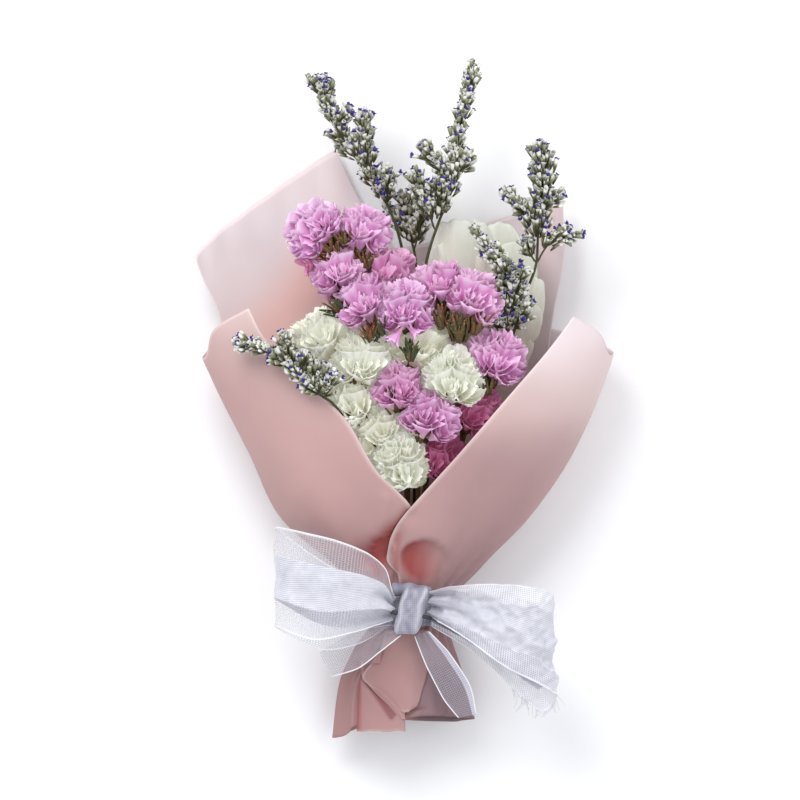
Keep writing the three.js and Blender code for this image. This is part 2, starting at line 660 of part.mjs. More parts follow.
// The knot is a rounded, gathered lump in front of the turn.
const knotMiddle = new THREE.Vector3(4.4, -78, 36.9);
const knotHalf = new THREE.Vector3(6.3, 8.3, 4.2);
const knot = shaped(new THREE.SphereGeometry(1, 12, 8), (p) => {
  const boxy = (v) => Math.sign(v) * Math.abs(v) ** 0.7;
  const ridge = 1 + 0.05 * Math.cos(9 * p.y);
  return new THREE.Vector3(boxy(p.x) * ridge, boxy(p.y), boxy(p.z) * ridge).multiply(knotHalf).add(knotMiddle);
});
addPiece("ribbon_knot", solidOf(knot), colours.ribbon, 0.5);

addPiece("ribbon_loop_left", ribbonStrip({
  spine: [
    [-2.6, -76, 37.5], [-14, -72, 45], [-30, -66.5, 48], [-42, -64, 45],
    [-46.5, -63.5, 39.5], [-42, -66, 34.5], [-28, -72, 33.8], [-14, -76.5, 34], [-2.6, -78.5, 33.8],
  ],
  halfWidths: [[0.5, 4.5, 0], [3, 12, 2], [1, 17, 2], [0, 15, 0], [0.5, 4.5, 0]],
  along: 22,
}), colours.ribbon, 0.5);

addPiece("ribbon_loop_right", ribbonStrip({
  spine: [
    [11.4, -76.5, 37.5], [22, -79, 43.5], [38, -85, 45], [50, -88.5, 43],
    [56, -90, 38], [50, -92, 33.5], [36, -90, 32.5], [22, -84, 33.2], [11.4, -79.5, 33.8],
  ],
  halfWidths: [[0, 4.5, 0], [2, 12, 1], [1, 18.5, 1], [-2, 15, 0], [0, 4.5, 0]],
  along: 22,
}), colours.ribbon, 0.5);

addPiece("ribbon_tail_left", ribbonStrip({
  spine: [[0.8, -87.3, 36.3], [-8, -90.5, 34.5], [-18, -95, 31], [-27.5, -101, 26]],
  halfWidths: [[1, -2.2, 0.4], [2.8, -4.6, 1], [3.4, -5.2, 1.4], [3.6, -5.4, 1.8]],
  along: 8,
  sag: 0.8,
}), colours.ribbon, 0.5);

addPiece("ribbon_tail_right", ribbonStrip({
  spine: [[6, -86.9, 36.6], [11.5, -97, 34], [18.5, -108, 31.5], [26, -118, 28]],
  halfWidths: [[2.4, 0.6, 0.3], [5.6, 3.6, 0.8], [5.8, 3.8, 1], [4, 2.4, 1]],
  along: 8,
  sag: 0.8,
}), colours.ribbon, 0.5);

export default bouquet;
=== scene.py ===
import math

import bmesh
import bpy
from mathutils import Matrix, Vector, noise


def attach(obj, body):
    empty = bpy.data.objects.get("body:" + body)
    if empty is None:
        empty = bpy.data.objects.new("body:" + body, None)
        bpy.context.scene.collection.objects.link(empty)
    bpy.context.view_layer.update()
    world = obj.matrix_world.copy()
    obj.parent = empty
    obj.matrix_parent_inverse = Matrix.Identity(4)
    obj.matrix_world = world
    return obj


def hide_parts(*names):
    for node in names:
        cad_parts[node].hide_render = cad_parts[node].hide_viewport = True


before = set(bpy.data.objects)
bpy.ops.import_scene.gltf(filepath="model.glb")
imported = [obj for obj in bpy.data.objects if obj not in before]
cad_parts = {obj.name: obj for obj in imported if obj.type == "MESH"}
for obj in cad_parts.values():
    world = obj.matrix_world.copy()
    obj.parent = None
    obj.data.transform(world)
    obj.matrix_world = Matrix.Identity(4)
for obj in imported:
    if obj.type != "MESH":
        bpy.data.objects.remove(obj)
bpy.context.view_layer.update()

mm = 0.001  # shapes are worked out in millimetres and put in the scene in metres
goldenTurn = 2.39996  # from one leaf or calyx to the next round a stem, in radians
print("frame loaded:", len(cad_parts), "nodes")


# The same scattered number between 0 and 1 for the same seed.
def scattered(seed):
    return (math.sin(seed * 12.9898 + 78.233) * 43758.5453) % 1.0


def mixed(a, b, share):
    return a + (b - a) * share


def held(value, low=0.0, high=1.0):
    return min(max(value, low), high)


# 0 below low, 1 above high, smooth between.
def eased(low, high, value):
    t = held((value - low) / (high - low))
    return t * t * (3 - 2 * t)


# Rows of a table as dictionaries that all have the same keys.
def table(keys, rows):
    return {name: dict(zip(keys.split(), row)) for name, row in rows.items()}


# A smooth step from first to last, with the given slopes at its ends.
def bridged(t, first, firstSlope, last, lastSlope):
    return (
        (2 * t**3 - 3 * t * t + 1) * first
        + (t**3 - 2 * t * t + t) * firstSlope
        + (3 * t * t - 2 * t**3) * last
        + (t**3 - t * t) * lastSlope
    )


# A smooth curve through rows of (place, value), held level past its ends.
def smoothCurve(rows):
    def slope(i):
        before, after = rows[max(i - 1, 0)], rows[min(i + 1, len(rows) - 1)]
        return (after[1] - before[1]) / (after[0] - before[0])

    def value(place):
        i = 0
        while i < len(rows) - 2 and place > rows[i + 1][0]:
            i += 1
        (x0, y0), (x1, y1) = rows[i], rows[i + 1]
        span = x1 - x0
        return bridged(held((place - x0) / span), y0, span * slope(i), y1, span * slope(i + 1))

    return value


# A smooth path through points that runs evenly from one to the next, taken by a share from 0 to 1.
def pathThrough(points):
    spots = [Vector(p) for p in points]
    spots = [2 * spots[0] - spots[1], *spots, 2 * spots[-1] - spots[-2]]

    def at(share):
        place = held(share) * (len(spots) - 3)
        i = min(int(place), len(spots) - 4)
        a, b, c, d = spots[i : i + 4]
        before, here, after = (math.sqrt(max(1e-6, (q - p).length)) for p, q in ((a, b), (b, c), (c, d)))
        out = (b - a) / before - (c - a) / (before + here) + (c - b) / here
        into = (c - b) / here - (d - b) / (here + after) + (d - c) / after
        return bridged(place - i, b, out * here, c, into * here)

    return at


def headingOf(path, share, step=0.01):
    return (path(share + step) - path(share - step)).normalized()


def lengthOf(path, steps):
    return sum((path(i / steps) - path((i + 1) / steps)).length for i in range(steps))


# A spot beside start, at a turn round the axis that side and up are square to.
def roundAxis(start, side, up, radius, turn):
    return start + side * (radius * math.cos(turn)) + up * (radius * math.sin(turn))


# Materials. A Wire is a socket that takes part in maths, and a Paint is a material with its nodes.
class Wire:
    def __init__(self, paint, socket):
        self.paint = paint
        self.socket = socket

    def maths(self, operation, first, second=0.0):
        return self.paint.node("ShaderNodeMath", {"operation": operation}, {0: first, 1: second})

    def __add__(self, other):
        return self.maths("ADD", self, other)

    def __radd__(self, other):
        return self.maths("ADD", other, self)

    def __sub__(self, other):
        return self.maths("SUBTRACT", self, other)

    def __rsub__(self, other):
        return self.maths("SUBTRACT", other, self)

    def __mul__(self, other):
        return self.maths("MULTIPLY", self, other)

    def __rmul__(self, other):
        return self.maths("MULTIPLY", other, self)

    def __pow__(self, other):
        return self.maths("POWER", self, other)

    def sine(self):
        return self.maths("SINE", self)

    def size(self):
        return self.maths("ABSOLUTE", self)

    def least(self, other):
        return self.maths("MINIMUM", self, other)

    def most(self, other):
        return self.maths("MAXIMUM", self, other)

    def ramp(self, low, high):
        smooth = {"interpolation_type": "SMOOTHSTEP"}
        return self.paint.node("ShaderNodeMapRange", smooth, {0: self, 1: low, 2: high})


class Paint:
    def __init__(self, name):
        self.material = bpy.data.materials.new(name)
        self.material.use_nodes = True
        self.tree = self.material.node_tree
        self.tree.nodes.clear()

    def node(self, kind, settings, sockets, output=0):
        made = self.tree.nodes.new(kind)
        for key, value in settings.items():
            setattr(made, key, value)
        for key, value in sockets.items():
            if isinstance(value, Wire):
                self.tree.links.new(value.socket, made.inputs[key])
            else:
                made.inputs[key].default_value = value
        return None if output is None else Wire(self, made.outputs[output])

    def place(self):
        return self.node("ShaderNodeTexCoord", {}, {}, 3)

    def mark(self, name):
        return self.node("ShaderNodeAttribute", {"attribute_name": name}, {}, 2)

    def sides(self, vector):
        parts = self.node("ShaderNodeSeparateXYZ", {}, {0: vector})
        return [Wire(self, socket) for socket in parts.socket.node.outputs]

    def noise(self, scale, detail, roughness=0.5):
        sockets = {"Vector": self.place(), "Scale": scale, "Detail": detail, "Roughness": roughness}
        return self.node("ShaderNodeTexNoise", {}, sockets)

    def mix(self, share, first, second):
        return self.node("ShaderNodeMix", {"data_type": "RGBA"}, {0: share, 6: first, 7: second}, 2)

    def bump(self, height, depth, strength, under=None):
        sockets = {"Height": height, "Distance": depth, "Strength": strength}
        if under:
            sockets["Normal"] = under
        return self.node("ShaderNodeBump", {}, sockets)

    def finish(self, sockets):
        shader = self.node("ShaderNodeBsdfPrincipled", {}, sockets)
        self.node("ShaderNodeOutputMaterial", {}, {"Surface": shader}, None)
        return self.material


# A colour given as it shows on a screen.
def colour(red, green, blue):
    def linear(c):
        c /= 255
        return c / 12.92 if c <= 0.04045 else ((c + 0.055) / 1.055) ** 2.4

    return (linear(red), linear(green), linear(blue), 1.0)


def inScene(name, data):
    made = bpy.data.objects.new(name, data)
    bpy.context.scene.collection.objects.link(made)
    return made


# Camera straight above, as the picture is taken, and the soft light of a small studio.
view = {"pixels": 800, "mmPerPixel": 0.37, "height": 1.2}
cameraData = bpy.data.cameras.new("camera")
cameraData.type = "ORTHO"
cameraData.ortho_scale = view["pixels"] * view["mmPerPixel"] * mm
cameraData.clip_start = 0.01
cameraData.clip_end = 10
camera = inScene("camera", cameraData)
camera.location = (0, 0, view["height"])
bpy.context.scene.camera = camera

lamps = {
    "key": {"at": (-0.28, 0.5, 0.65), "side": 0.5, "watts": 4.6},
    "fill": {"at": (0.6, 0.1, 0.8), "side": 0.8, "watts": 2.4},
    "low": {"at": (0.0, -0.8, 0.7), "side": 0.8, "watts": 1.2},
}
for name, lamp in lamps.items():
    lampData = bpy.data.lights.new(name, "AREA")
    lampData.size = lamp["side"]
    lampData.energy = lamp["watts"]
    lampObject = inScene(name, lampData)
    lampObject.location = lamp["at"]
    lampObject.rotation_euler = (-Vector(lamp["at"])).to_track_quat("-Z", "Y").to_euler()

skylight = {"Color": (0.93, 0.95, 1.0, 1), "Strength": 0.72}
world = bpy.data.worlds.new("studio")
world.use_nodes = True
for key, value in skylight.items():
    world.node_tree.nodes["Background"].inputs[key].default_value = value
bpy.context.scene.world = world
bpy.context.scene.view_settings.view_transform = "Standard"
print("camera and lamps set")


# A mesh as a piece of the object, in place on its body.
def asPiece(bm, name, material, slot, nodes=()):
    mesh = bpy.data.meshes.new(name)
    bm.to_mesh(mesh)
    bm.free()
    mesh.shade_smooth()
    mesh.materials.append(material)
    piece = inScene(name, mesh)
    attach(piece, "root")
    if nodes:
        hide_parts(*nodes)
    return piece


# A sheet gets its thickness, in millimetres, half on each side.
def thickened(piece, thickness):
    solidify = piece.modifiers.new("thickness", "SOLIDIFY")
    solidify.thickness = thickness * mm
    solidify.offset = 0
    return piece


# A mesh whose corners are joined where they lie on each other.
def welded(bm):
    bmesh.ops.remove_doubles(bm, verts=bm.verts, dist=1e-6)
    return bm


# A mesh that has the named marks at its corners, which the material reads, and a map for cloth.
def freshMesh(*marks):
    bm = bmesh.new()
    for name in marks:
        bm.verts.layers.float.new(name)
    bm.loops.layers.uv.new("cloth")
    return bm


# A grid whose corners go to rule(u, v), which gives a place and the marks there.
def bentGrid(bm, across, along, rule, mapped=None):
    made = bmesh.ops.create_grid(bm, x_segments=across, y_segments=along, size=0.5)["verts"]
    spots = {}
    for vert in made:
        u, v = vert.co.x + 0.5, vert.co.y + 0.5
        spots[vert] = (u, v)
        vert.co, marks = rule(u, v)
        for name, value in marks.items():
            vert[bm.verts.layers.float[name]] = value
    if mapped:
        layer = bm.loops.layers.uv["cloth"]
        for face in {face for vert in made for face in vert.link_faces}:
            for loop in face.loops:
                loop[layer].uv = mapped(*spots[loop.vert])
    return made


# The floor.
paint = Paint("paleFloor")
floorMaterial = paint.finish({
    "Base Color": paint.mix(paint.noise(9.0, 3.0), colour(246, 246, 247), colour(250, 250, 250)),
    "Roughness": 0.9,
})
bm = bmesh.new()
bmesh.ops.create_grid(bm, x_segments=4, y_segments=4, size=3.0)
floorMesh = bpy.data.meshes.new("floor")
bm.to_mesh(floorMesh)
bm.free()
floorMesh.materials.append(floorMaterial)
floor = inScene("floor", floorMesh)


# The wrapping: an oval cone whose left, right, back, widest and front places follow Y, in millimetres,
# with pleats and finer gathers round it. Each sheet lies one pitch inside the one before it.
wrap = {
    "left": [(-126, -25), (-104, -22.4), (-92, -17.5), (-77, -9.8), (-62, -24), (-44, -45)]
    + [(-20, -57.5), (12, -73), (40, -82), (70, -88), (100, -92)],
    "right": [(-126, 28), (-104, 23), (-77, 17.3), (-62, 29), (-44, 47)]
    + [(-20, 64), (12, 77.5), (40, 83), (70, 87), (100, 90)],
    "back": [(-126, 2.6), (-104, 3), (-77, 3.5), (-62, 1.2), (-44, -0.8), (-20, -1.5), (100, -1.5)],
    "widest": [(-126, 13), (-104, 14), (-77, 16.5), (-62, 18), (-44, 21)]
    + [(-20, 23), (12, 25), (40, 26), (100, 26)],
    "front": [(-126, 24), (-104, 25), (-77, 30), (-62, 37), (-44, 45.5)]
    + [(-20, 52), (12, 57), (40, 57), (100, 57)],
    "pleats": [(-126, 2.2), (-104, 1.6), (-84, 0.6), (-77, 0.45), (-62, 1), (-44, 0.7), (-20, 0), (100, 0)],
    "gathers": [(-126, 0.1), (-100, 0.25), (-84, 0.5), (-77, 0.35), (-66, 0.45)]
    + [(-50, 0.1), (-40, 0), (100, 0)],
    "pleatCount": 6,
    "gatherCount": 23,
    "pitch": 1.5,
    "inset": 0.3,
    "thickness": 0.22,
}
profiles = {key: smoothCurve(rows) for key, rows in wrap.items() if isinstance(rows, list)}


# A point of the wrapping at an angle round it (0 right, 90 front, 180 left, 270 back), in metres.
def wrapPoint(angle, y, layer, depth):
    turn = math.radians(angle)
    left, right, widest = profiles["left"](y), profiles["right"](y), profiles["widest"](y)
    upright = profiles["front"](y) - widest if math.sin(turn) > 0 else widest - profiles["back"](y)
    pleat = profiles["pleats"](y) * math.sin(wrap["pleatCount"] * turn + 0.6)
    pleat += profiles["gathers"](y) * math.sin(wrap["gatherCount"] * turn + 0.1 * y)
    inwards = layer * wrap["pitch"] + depth - pleat
    x = (left + right) / 2 + ((right - left) / 2 - inwards) * math.cos(turn)
    z = widest + (upright - inwards) * math.sin(turn)
    return Vector((x, y, max(z, layer * wrap["pitch"] + depth))) * mm


# Soft creases pressed into the film: from where to where each runs in the picture's plane, how wide and
# deep it is, and how much painted deep coral shade gathers in it.
creases = {
    "film_front_right": [
        ((-1.0, -50), (-1.8, -66), 1.3, 1.1, 0.5),
        ((25, -46), (50, -2), 9, 0.9, 0.0),
        ((14, -50), (34, -16), 7, -0.6, 0.0),
        ((-15.4, -96), (-16, -124), 1.2, 1.6, 0.8),
        ((1.7, -113.9), (9.3, -114.2), 0.6, 0.9, 0.35),
    ],
    "film_front_left": [
        ((3.3, -42.7), (-3.5, -50.5), 2.6, 2.2, 0.9),
        ((-2, -51), (-13, -58), 4.0, 2.4, 1.0),
        ((-5.3, -37), (-8, -50), 2.6, -1.2, 0.0),
        ((-12, -42), (-40, -12), 9, 0.8, 0.0),
        ((-30, -38), (-58, 6), 8, -0.6, 0.0),
    ],
    "film_back_left": [
        ((-30, 40), (-24, 84), 9, 0.9, 0.1),
        ((-52, 20), (-60, 50), 9, -0.7, 0.05),
        ((-46, 26), (-32, 46), 12, 0.3, 0.75),
    ],
    "film_back_right": [
        ((50, 40), (56, 70), 8, 0.8, 0.2),
    ],
}
# Soft oval tucks that the ribbon draws into the front below the flowers, with painted coral shade in them.
tucks = [
    {"film": "film_front_right", "at": (8.6, -60.4), "half": (10.2, 9.0), "depth": 2.6, "coral": 0.95},
    {"film": "film_front_left", "at": (-7.5, -60), "half": (5.6, 9.5), "depth": 2.2, "coral": 1.0},
]


# How strongly a crease works at a place, from 0 to 1.
def creaseShare(x, y, start, end, width):
    (x0, y0), (x1, y1) = start, end
    dx, dy = x1 - x0, y1 - y0
    along = ((x - x0) * dx + (y - y0) * dy) / (dx * dx + dy * dy)
    near = held(along)
    apart = math.hypot(x - x0 - near * dx, y - y0 - near * dy)
    return math.exp(-((apart / width) ** 2))


# How deep the film is pressed in at a place, and how much painted coral shade shows there.
def pressed(name, x, y):
    depth, coral = 0.0, 0.0
    for other, lines in creases.items():
        if ("front" in other) != ("front" in name) or ("back" in name and other != name):
            continue
        for *line, lineDepth, lineCoral in lines:
            share = creaseShare(x, y, *line)
            depth += lineDepth * share
            coral += lineCoral * share * (other == name)
    for pocket in tucks if "front" in name else ():
        (x0, y0), (halfX, halfY) = pocket["at"], pocket["half"]
        sideways, rise = (x - x0) / halfX, (y - y0) / halfY
        rim = mixed(0.5, 0.9, eased(-0.6, 0.8, rise))
        share = (1 - eased(rim, 1.0, math.hypot(sideways, rise))) * eased(-1.0, -0.7, sideways)
        depth += pocket["depth"] * share * eased(-1.1, 0.7, rise)
        if pocket["film"] == name:
            coral += pocket["coral"] * share * eased(1.1, -0.5, sideways)
    return depth, held(coral)


# The sheets, from the outermost in: the angles at which each starts and ends round the stems, and its
# lower and upper edges from its start to its end.
films = {
    "film_front_right": {
        "layer": 0,
        "start": smoothCurve(
            [(-126, 112), (-104, 115), (-77, 105), (-65, 99), (-60, 106), (-54, 101)]
            + [(-40, 87), (-24, 75), (-2, 60), (18, 47), (31, 38.4)]
        ),
        "end": lambda y: -110,
        "bottom": smoothCurve([(0, -119), (0.2, -117), (0.4, -117.5), (0.7, -119), (1, -118)]),
        "top": smoothCurve([(0, 31), (0.1, 26), (0.26, 16.5), (0.6, 27), (1, 38)]),
        "grid": (150, 140),
        "slot": "film_outer",
    },
    "film_front_left": {
        "layer": 1,
        "start": smoothCurve(
            [(-126, 78), (-104, 72), (-77, 62), (-60, 70), (-39, 87)]
            + [(-26, 102), (-7, 111), (8, 122), (22, 132), (34, 136)]
        ),
        "end": lambda y: 285,
        "bottom": smoothCurve([(0, -116), (0.25, -120), (0.5, -125), (0.75, -120), (1, -117)]),
        "top": smoothCurve([(0, 34), (0.12, 27), (0.3, 15.5), (0.6, 27), (1, 40)]),
        "grid": (150, 140),
        "slot": "film_outer",
    },
    "film_back_left": {
        "layer": 2,
        "start": smoothCurve(
            [(-126, 150), (-77, 150), (-40, 178), (0, 198), (30, 208.7), (53, 201.6), (92, 200)]
        ),
        "end": smoothCurve(
            [(-126, 300), (-77, 300), (-40, 292), (0, 288), (30, 281), (57, 268), (72, 261), (93, 254.4)]
        ),
        "bottom": smoothCurve([(0, -116), (1, -113)]),
        "top": smoothCurve([(0, 52.9), (0.28, 63.8), (0.46, 70.7), (0.63, 77.7), (0.88, 88.1), (1, 92.7)]),
        "grid": (100, 100),
        "slot": "film_inner",
    },
    "film_back_right": {
        "layer": 3,
        "start": smoothCurve(
            [(-126, 20), (-77, 10), (-40, -25), (0, -40), (24, -43), (51, -40.5), (74, -42.5)]
        ),
        "end": smoothCurve([(-126, -130), (-77, -130), (0, -115), (50, -105), (74, -100)]),
        "bottom": smoothCurve([(0, -113), (1, -115)]),
        "top": smoothCurve([(0, 74), (0.35, 67.3), (0.6, 60), (1, 52)]),
        "grid": (100, 100),
        "slot": "film_inner",
    },
}


# Frosted film: soft mottling and fine grain, paler towards its free top and darker low down, partly the
# deeper tone of layers lying over each other and partly painted light and shade. On it, painted shade low
# on the right and a painted highlight high on the right of the outer sheets, painted shade on the handle
# and along its creases, painted deep coral shade where it is folded, and painted highlights along its edges.
def filmPaint(name, look):
    paint = Paint(name)
    pale, middle, deep, folded = (colour(*look[key]) for key in ("pale", "middle", "deep", "folded"))
    rightSide = look["rightSide"]
    sideways, rise = paint.sides(paint.place())[:2]
    cloud = paint.noise(26.0, 3.0, 0.45)
    fold = paint.mark("coral")
    paintedShade = paint.mark("paintedShade")
    edge = paint.mark("edge")
    grain = paint.noise(1900.0, 2.0, 0.6)
    # Darker low, paler up top: partly the tone of overlapping layers, partly painted shade and light.
    body = paint.mix((rise + cloud * 0.03).ramp(-0.065, 0.0), deep, middle)
    body = paint.mix((rise + cloud * 0.02 + sideways * (0.8 * rightSide)).ramp(-0.012, 0.05), body, pale)
    # Painted shade low on the right and a painted highlight high on the right of the outer sheets.
    lowerRightShade = (sideways + cloud * 0.01).ramp(0.004, 0.026) * (1 - rise.ramp(-0.022, 0.0))
    body = paint.mix(lowerRightShade * rightSide, body, colour(140, 112, 118))
    upperRightLight = sideways.ramp(0.02, 0.05) * rise.ramp(0.0, 0.03)
    body = paint.mix(upperRightLight * (1.7 * rightSide), body, colour(236, 226, 232))
    greyed = sideways.ramp(0.0, 0.075) * max(0.0, 0.55 - 1.5 * rightSide)
    body = paint.mix(greyed, body, colour(192, 176, 180))
    body = paint.mix(cloud.ramp(0.35, 0.75) * 0.2, body, colour(214, 174, 168))
    # Painted shade on the lower right of the handle and along its creases.
    body = paint.mix(paintedShade, body, colour(116, 96, 102))
    # Painted deep coral shade in folds, creases and tucks.
    body = paint.mix(fold * 0.95, body, folded)
    # A painted highlight along the edges.
    body = paint.mix(edge * 0.5, body, colour(240, 220, 218))
    soft = paint.bump(cloud, 0.0006, 0.5)
    return paint.finish({
        "Base Color": body,
        "Roughness": 0.5 + grain * 0.16,
        "Specular IOR Level": 0.34,
        "Normal": paint.bump(grain, 0.00003, 0.5, soft),
    })


# Colours of the outer and inner sheets: pale at the top, middle, deep low down (partly painted shade), the
# painted coral shade of folds, and how strongly painted shade and light show on the right, where a sheet
# without them turns greyer.
filmLooks = table(
    "pale middle deep folded rightSide",
    {
        "film_outer": ((222, 202, 199), (188, 152, 149), (164, 125, 124), (148, 62, 60), 0.36),
        "film_inner": ((223, 212, 214), (246, 224, 221), (224, 184, 178), (238, 186, 176), 0.0),
    },
)
filmMaterials = {
    slot: filmPaint("frosted" + slot.title().replace("_", ""), look) for slot, look in filmLooks.items()
}


# One sheet of the wrapping: a grid between its edges, with its creases, soft waves and a fine lip.
def filmSheet(name, film):
    bm = freshMesh("coral", "edge", "paintedShade")

    def rule(u, v):
        y = mixed(film["bottom"](u), film["top"](u), v)
        angle = mixed(film["start"](y), film["end"](y), u)
        flat = wrapPoint(angle, y, film["layer"], wrap["inset"])
        # The creases and tucks also give painted coral shade.
        depth, coral = pressed(name, flat.x / mm, y) if flat.z > 0.012 or film["layer"] > 1 else (0, 0)
        wave = noise.noise(Vector((flat.x * 16, flat.y * 16, 5 * film["layer"]))) * 0.7 * eased(-70, -20, y)
        lip = 0.35 * math.sin(u * 31 + film["layer"]) * eased(0.93, 1.0, v)
        # A painted highlight along the top and the starting edge.
        edge = max(eased(0.992, 1.0, v), eased(0.012, 0.0, u))
        inner = held(depth, -1.2, 3.2) + wave + lip
        # Painted shade on the lower right of the handle.
        paintedShade = 0.75 * eased(-92, -104, y) * eased(3, 8, flat.x / mm) * ("front" in name)
        place = wrapPoint(angle, y, film["layer"], wrap["inset"] + inner)
        return place, {"coral": coral, "edge": edge, "paintedShade": paintedShade}

    bentGrid(bm, *film["grid"], rule)
    sheet = asPiece(bm, name.replace("film", "wrap"), filmMaterials[film["slot"]], film["slot"], [name])
    thickened(sheet, wrap["thickness"])


for name, film in films.items():
    filmSheet(name, film)


# The front of the wrapping at a place of the picture, in millimetres.
def frontZ(x, y, lift):
    left, right = profiles["left"](y), profiles["right"](y)
    lean = held((2 * x - left - right) / (right - left), -1, 1)
    upright = profiles["front"](y) - profiles["widest"](y)
    return profiles["widest"](y) + upright * math.sqrt(1 - lean * lean) + lift


# Folded panels of film that lie on the front: rows of (y, left, right), how high each lies above the
# film below it, how ragged its end is, the side at which the fold turns to painted deep coral shade (1 right,
# -1 left), and creases as above.
foldedPanels = {
    "handle_low": {
        "rows": [(-99, -14.4, -11), (-104, -14.9, -7.5), (-110, -15.3, -1)]
        + [(-116, -15.7, 1.6), (-122.6, -16, 2)],
        "lift": 1.1,
        "ends": 0.5,
        "coral": -1,
        "creases": [
            ((-13.6, -102.6), (-3.2, -117.6), 0.9, 0.7, 0.5),
            ((-10.5, -106), (-2, -116.5), 0.7, 0.4, 0.5),
        ],
    },
    "handle_crease": {
        "rows": [(-100.5, -14.2, -12), (-104, -12.8, -7.5), (-110, -7.3, -1)]
        + [(-115, -1.6, 1.6), (-118, 0.6, 2)],
        "lift": 1.9,
        "ends": 0.8,
        "coral": 1,
    },
    "handle_front": {
        "rows": [(-85, -5, 11), (-95, -8.6, 10.8), (-102.6, -14, 9.6)]
        + [(-108, -8, 8), (-113, -2, 6.3), (-115.4, 0.6, 3)],
        "lift": 2.7,
        "ends": 0.6,
        "coral": 0,
    },
    "handle_tip": {
        "rows": [(-91.9, -6.9, -6.5), (-95, -9.2, -7), (-97.4, -10.9, -7.5)],
        "lift": 3.4,
        "ends": 0.2,
        "coral": 0,
    },
}
panelGrid = (38, 54)
for name, panel in foldedPanels.items():
    leftSide = smoothCurve(sorted((row[0], row[1]) for row in panel["rows"]))
    rightSide = smoothCurve(sorted((row[0], row[2]) for row in panel["rows"]))
    top, bottom = panel["rows"][0][0], panel["rows"][-1][0]
    bm = freshMesh("coral", "edge", "paintedShade")

    def rule(u, v):
        ragged = noise.noise(Vector((u * 5, 3.1, bottom))) if v < 0.5 else 0
        y = mixed(bottom, top, v) + panel["ends"] * ragged * (1 - v)
        x = mixed(leftSide(y), rightSide(y), u)
        near = min(u, 1 - u) * 2
        lift = panel["lift"] * (0.75 + 0.25 * eased(0, 0.5, near)) + 0.25 * math.sin(u * 5 + y * 0.3)
        lines = [(creaseShare(x, y, *line[:3]), *line[3:]) for line in panel.get("creases", ())]
        lift -= sum(depth * share for share, depth, _ in lines)
        # Painted deep coral shade at the turned side and along the creases.
        turned = u if panel["coral"] > 0 else 1 - u
        coral = abs(panel["coral"]) * 0.75 * eased(0.86, 1.0, turned)
        coral = held(coral + sum(lineCoral * share for share, _, lineCoral in lines))
        # A painted highlight along the left and the lower edge.
        edge = eased(0.06, 0.0, u) * (0.6 if panel["coral"] >= 0 else 0) + eased(0.04, 0.0, v) * 0.5
        # Painted shade low on the handle and along its creases.
        paintedShade = held(0.3 * eased(-90, -82, y) + 0.15 * eased(2, 9, x) + 0.7 * sum(line[0] for line in lines))
        return Vector((x, y, frontZ(x, y, lift))) * mm, {"coral": coral, "edge": held(edge), "paintedShade": paintedShade}

    bentGrid(bm, *panelGrid, rule)
    thickened(asPiece(bm, "fold_" + name, filmMaterials["film_outer"], "film_outer"), wrap["thickness"])
print("film sheets made")


# Heads of papery flowers: where each is, its size, the stem that bears it, the way in which its petals
# fan out from their foot, and how far they lie in the shade of the wrapping. The cream heads only keep
# their room free here.
heads = {
    "pink_tuft_01": ((-31.5, 63, 42), 11.5, "pinkA", (-0.75, 0.6, 0.15), 0.0),
    "pink_tuft_02": ((-14, 62, 41), 11, "pinkA", (0.15, 0.95, 0.15), 0.05),
    "pink_tuft_03": ((-22.5, 48, 44), 10.5, "pinkA", (-0.2, 0.9, 0.2), 0.1),
    "pink_tuft_04": ((-4.5, 47, 39), 11, "pinkB", (0.1, 0.95, 0.15), 0.35),
    "pink_tuft_05": ((-13.5, 36.5, 47), 11.5, "pinkB", (-0.35, 0.85, 0.2), 0.05),
    "pink_tuft_06": ((2, 34, 50), 12, "pinkB", (0.05, 0.9, 0.35), 0.0),
    "pink_tuft_07": ((14, 42, 44), 11, "pinkB", (-0.25, 0.95, 0.1), 0.15),
    "pink_tuft_08": ((26.5, 37.5, 46), 12, "pinkB", (0.35, 0.9, 0.1), 0.1),
    "pink_tuft_09": ((35, 15.5, 44), 12, "pinkC", (0.15, 0.9, 0.3), 0.1),
    "pink_tuft_10": ((-0.5, 4.5, 49), 10.5, "pinkD", (0.0, 0.9, 0.25), 0.25),
    "pink_tuft_11": ((11, -5.5, 48), 12, "pinkD", (0.25, 0.85, 0.3), 0.1),
    "pink_tuft_12": ((28, -4, 38), 11, "pinkC", (0.4, 0.7, 0.4), 0.9),
    "pink_tuft_13": ((15.5, -22, 36.5), 10.5, "pinkD", (0.3, 0.6, 0.5), 1.0),
    "white_tuft_01": ((-28.5, 24, 40), 12, "whiteA", (-0.4, 0.9, 0.15), 0.1),
    "white_tuft_02": ((-14.5, 15.5, 45), 12.5, "whiteA", (0.1, 0.9, 0.35), 0.0),
    "white_tuft_03": ((-18, -1, 41), 12, "whiteA", (-0.5, 0.8, 0.3), 0.15),
    "white_tuft_04": ((-8.5, -11, 41), 11, "whiteB", (-0.35, 0.8, 0.35), 0.15),
    "white_tuft_05": ((0, -21.5, 40.5), 12.5, "whiteB", (-0.15, 0.6, 0.7), 0.0),
    "white_tuft_06": ((19.5, 8.5, 46), 13, "whiteC", (0.0, 0.85, 0.5), 0.0),
    "white_tuft_07": ((7, 20.5, 43), 12, "whiteC", (0.3, 0.9, 0.15), 0.3),
    "cream_head_01": ((24, 55, 28), 16),
    "cream_head_02": ((43, 50, 25), 14),
    "cream_head_03": ((48, 31, 27), 13),
    "cream_head_04": ((43, 15.5, 27), 11),
}
heads = table("at size stem fan shade", heads)
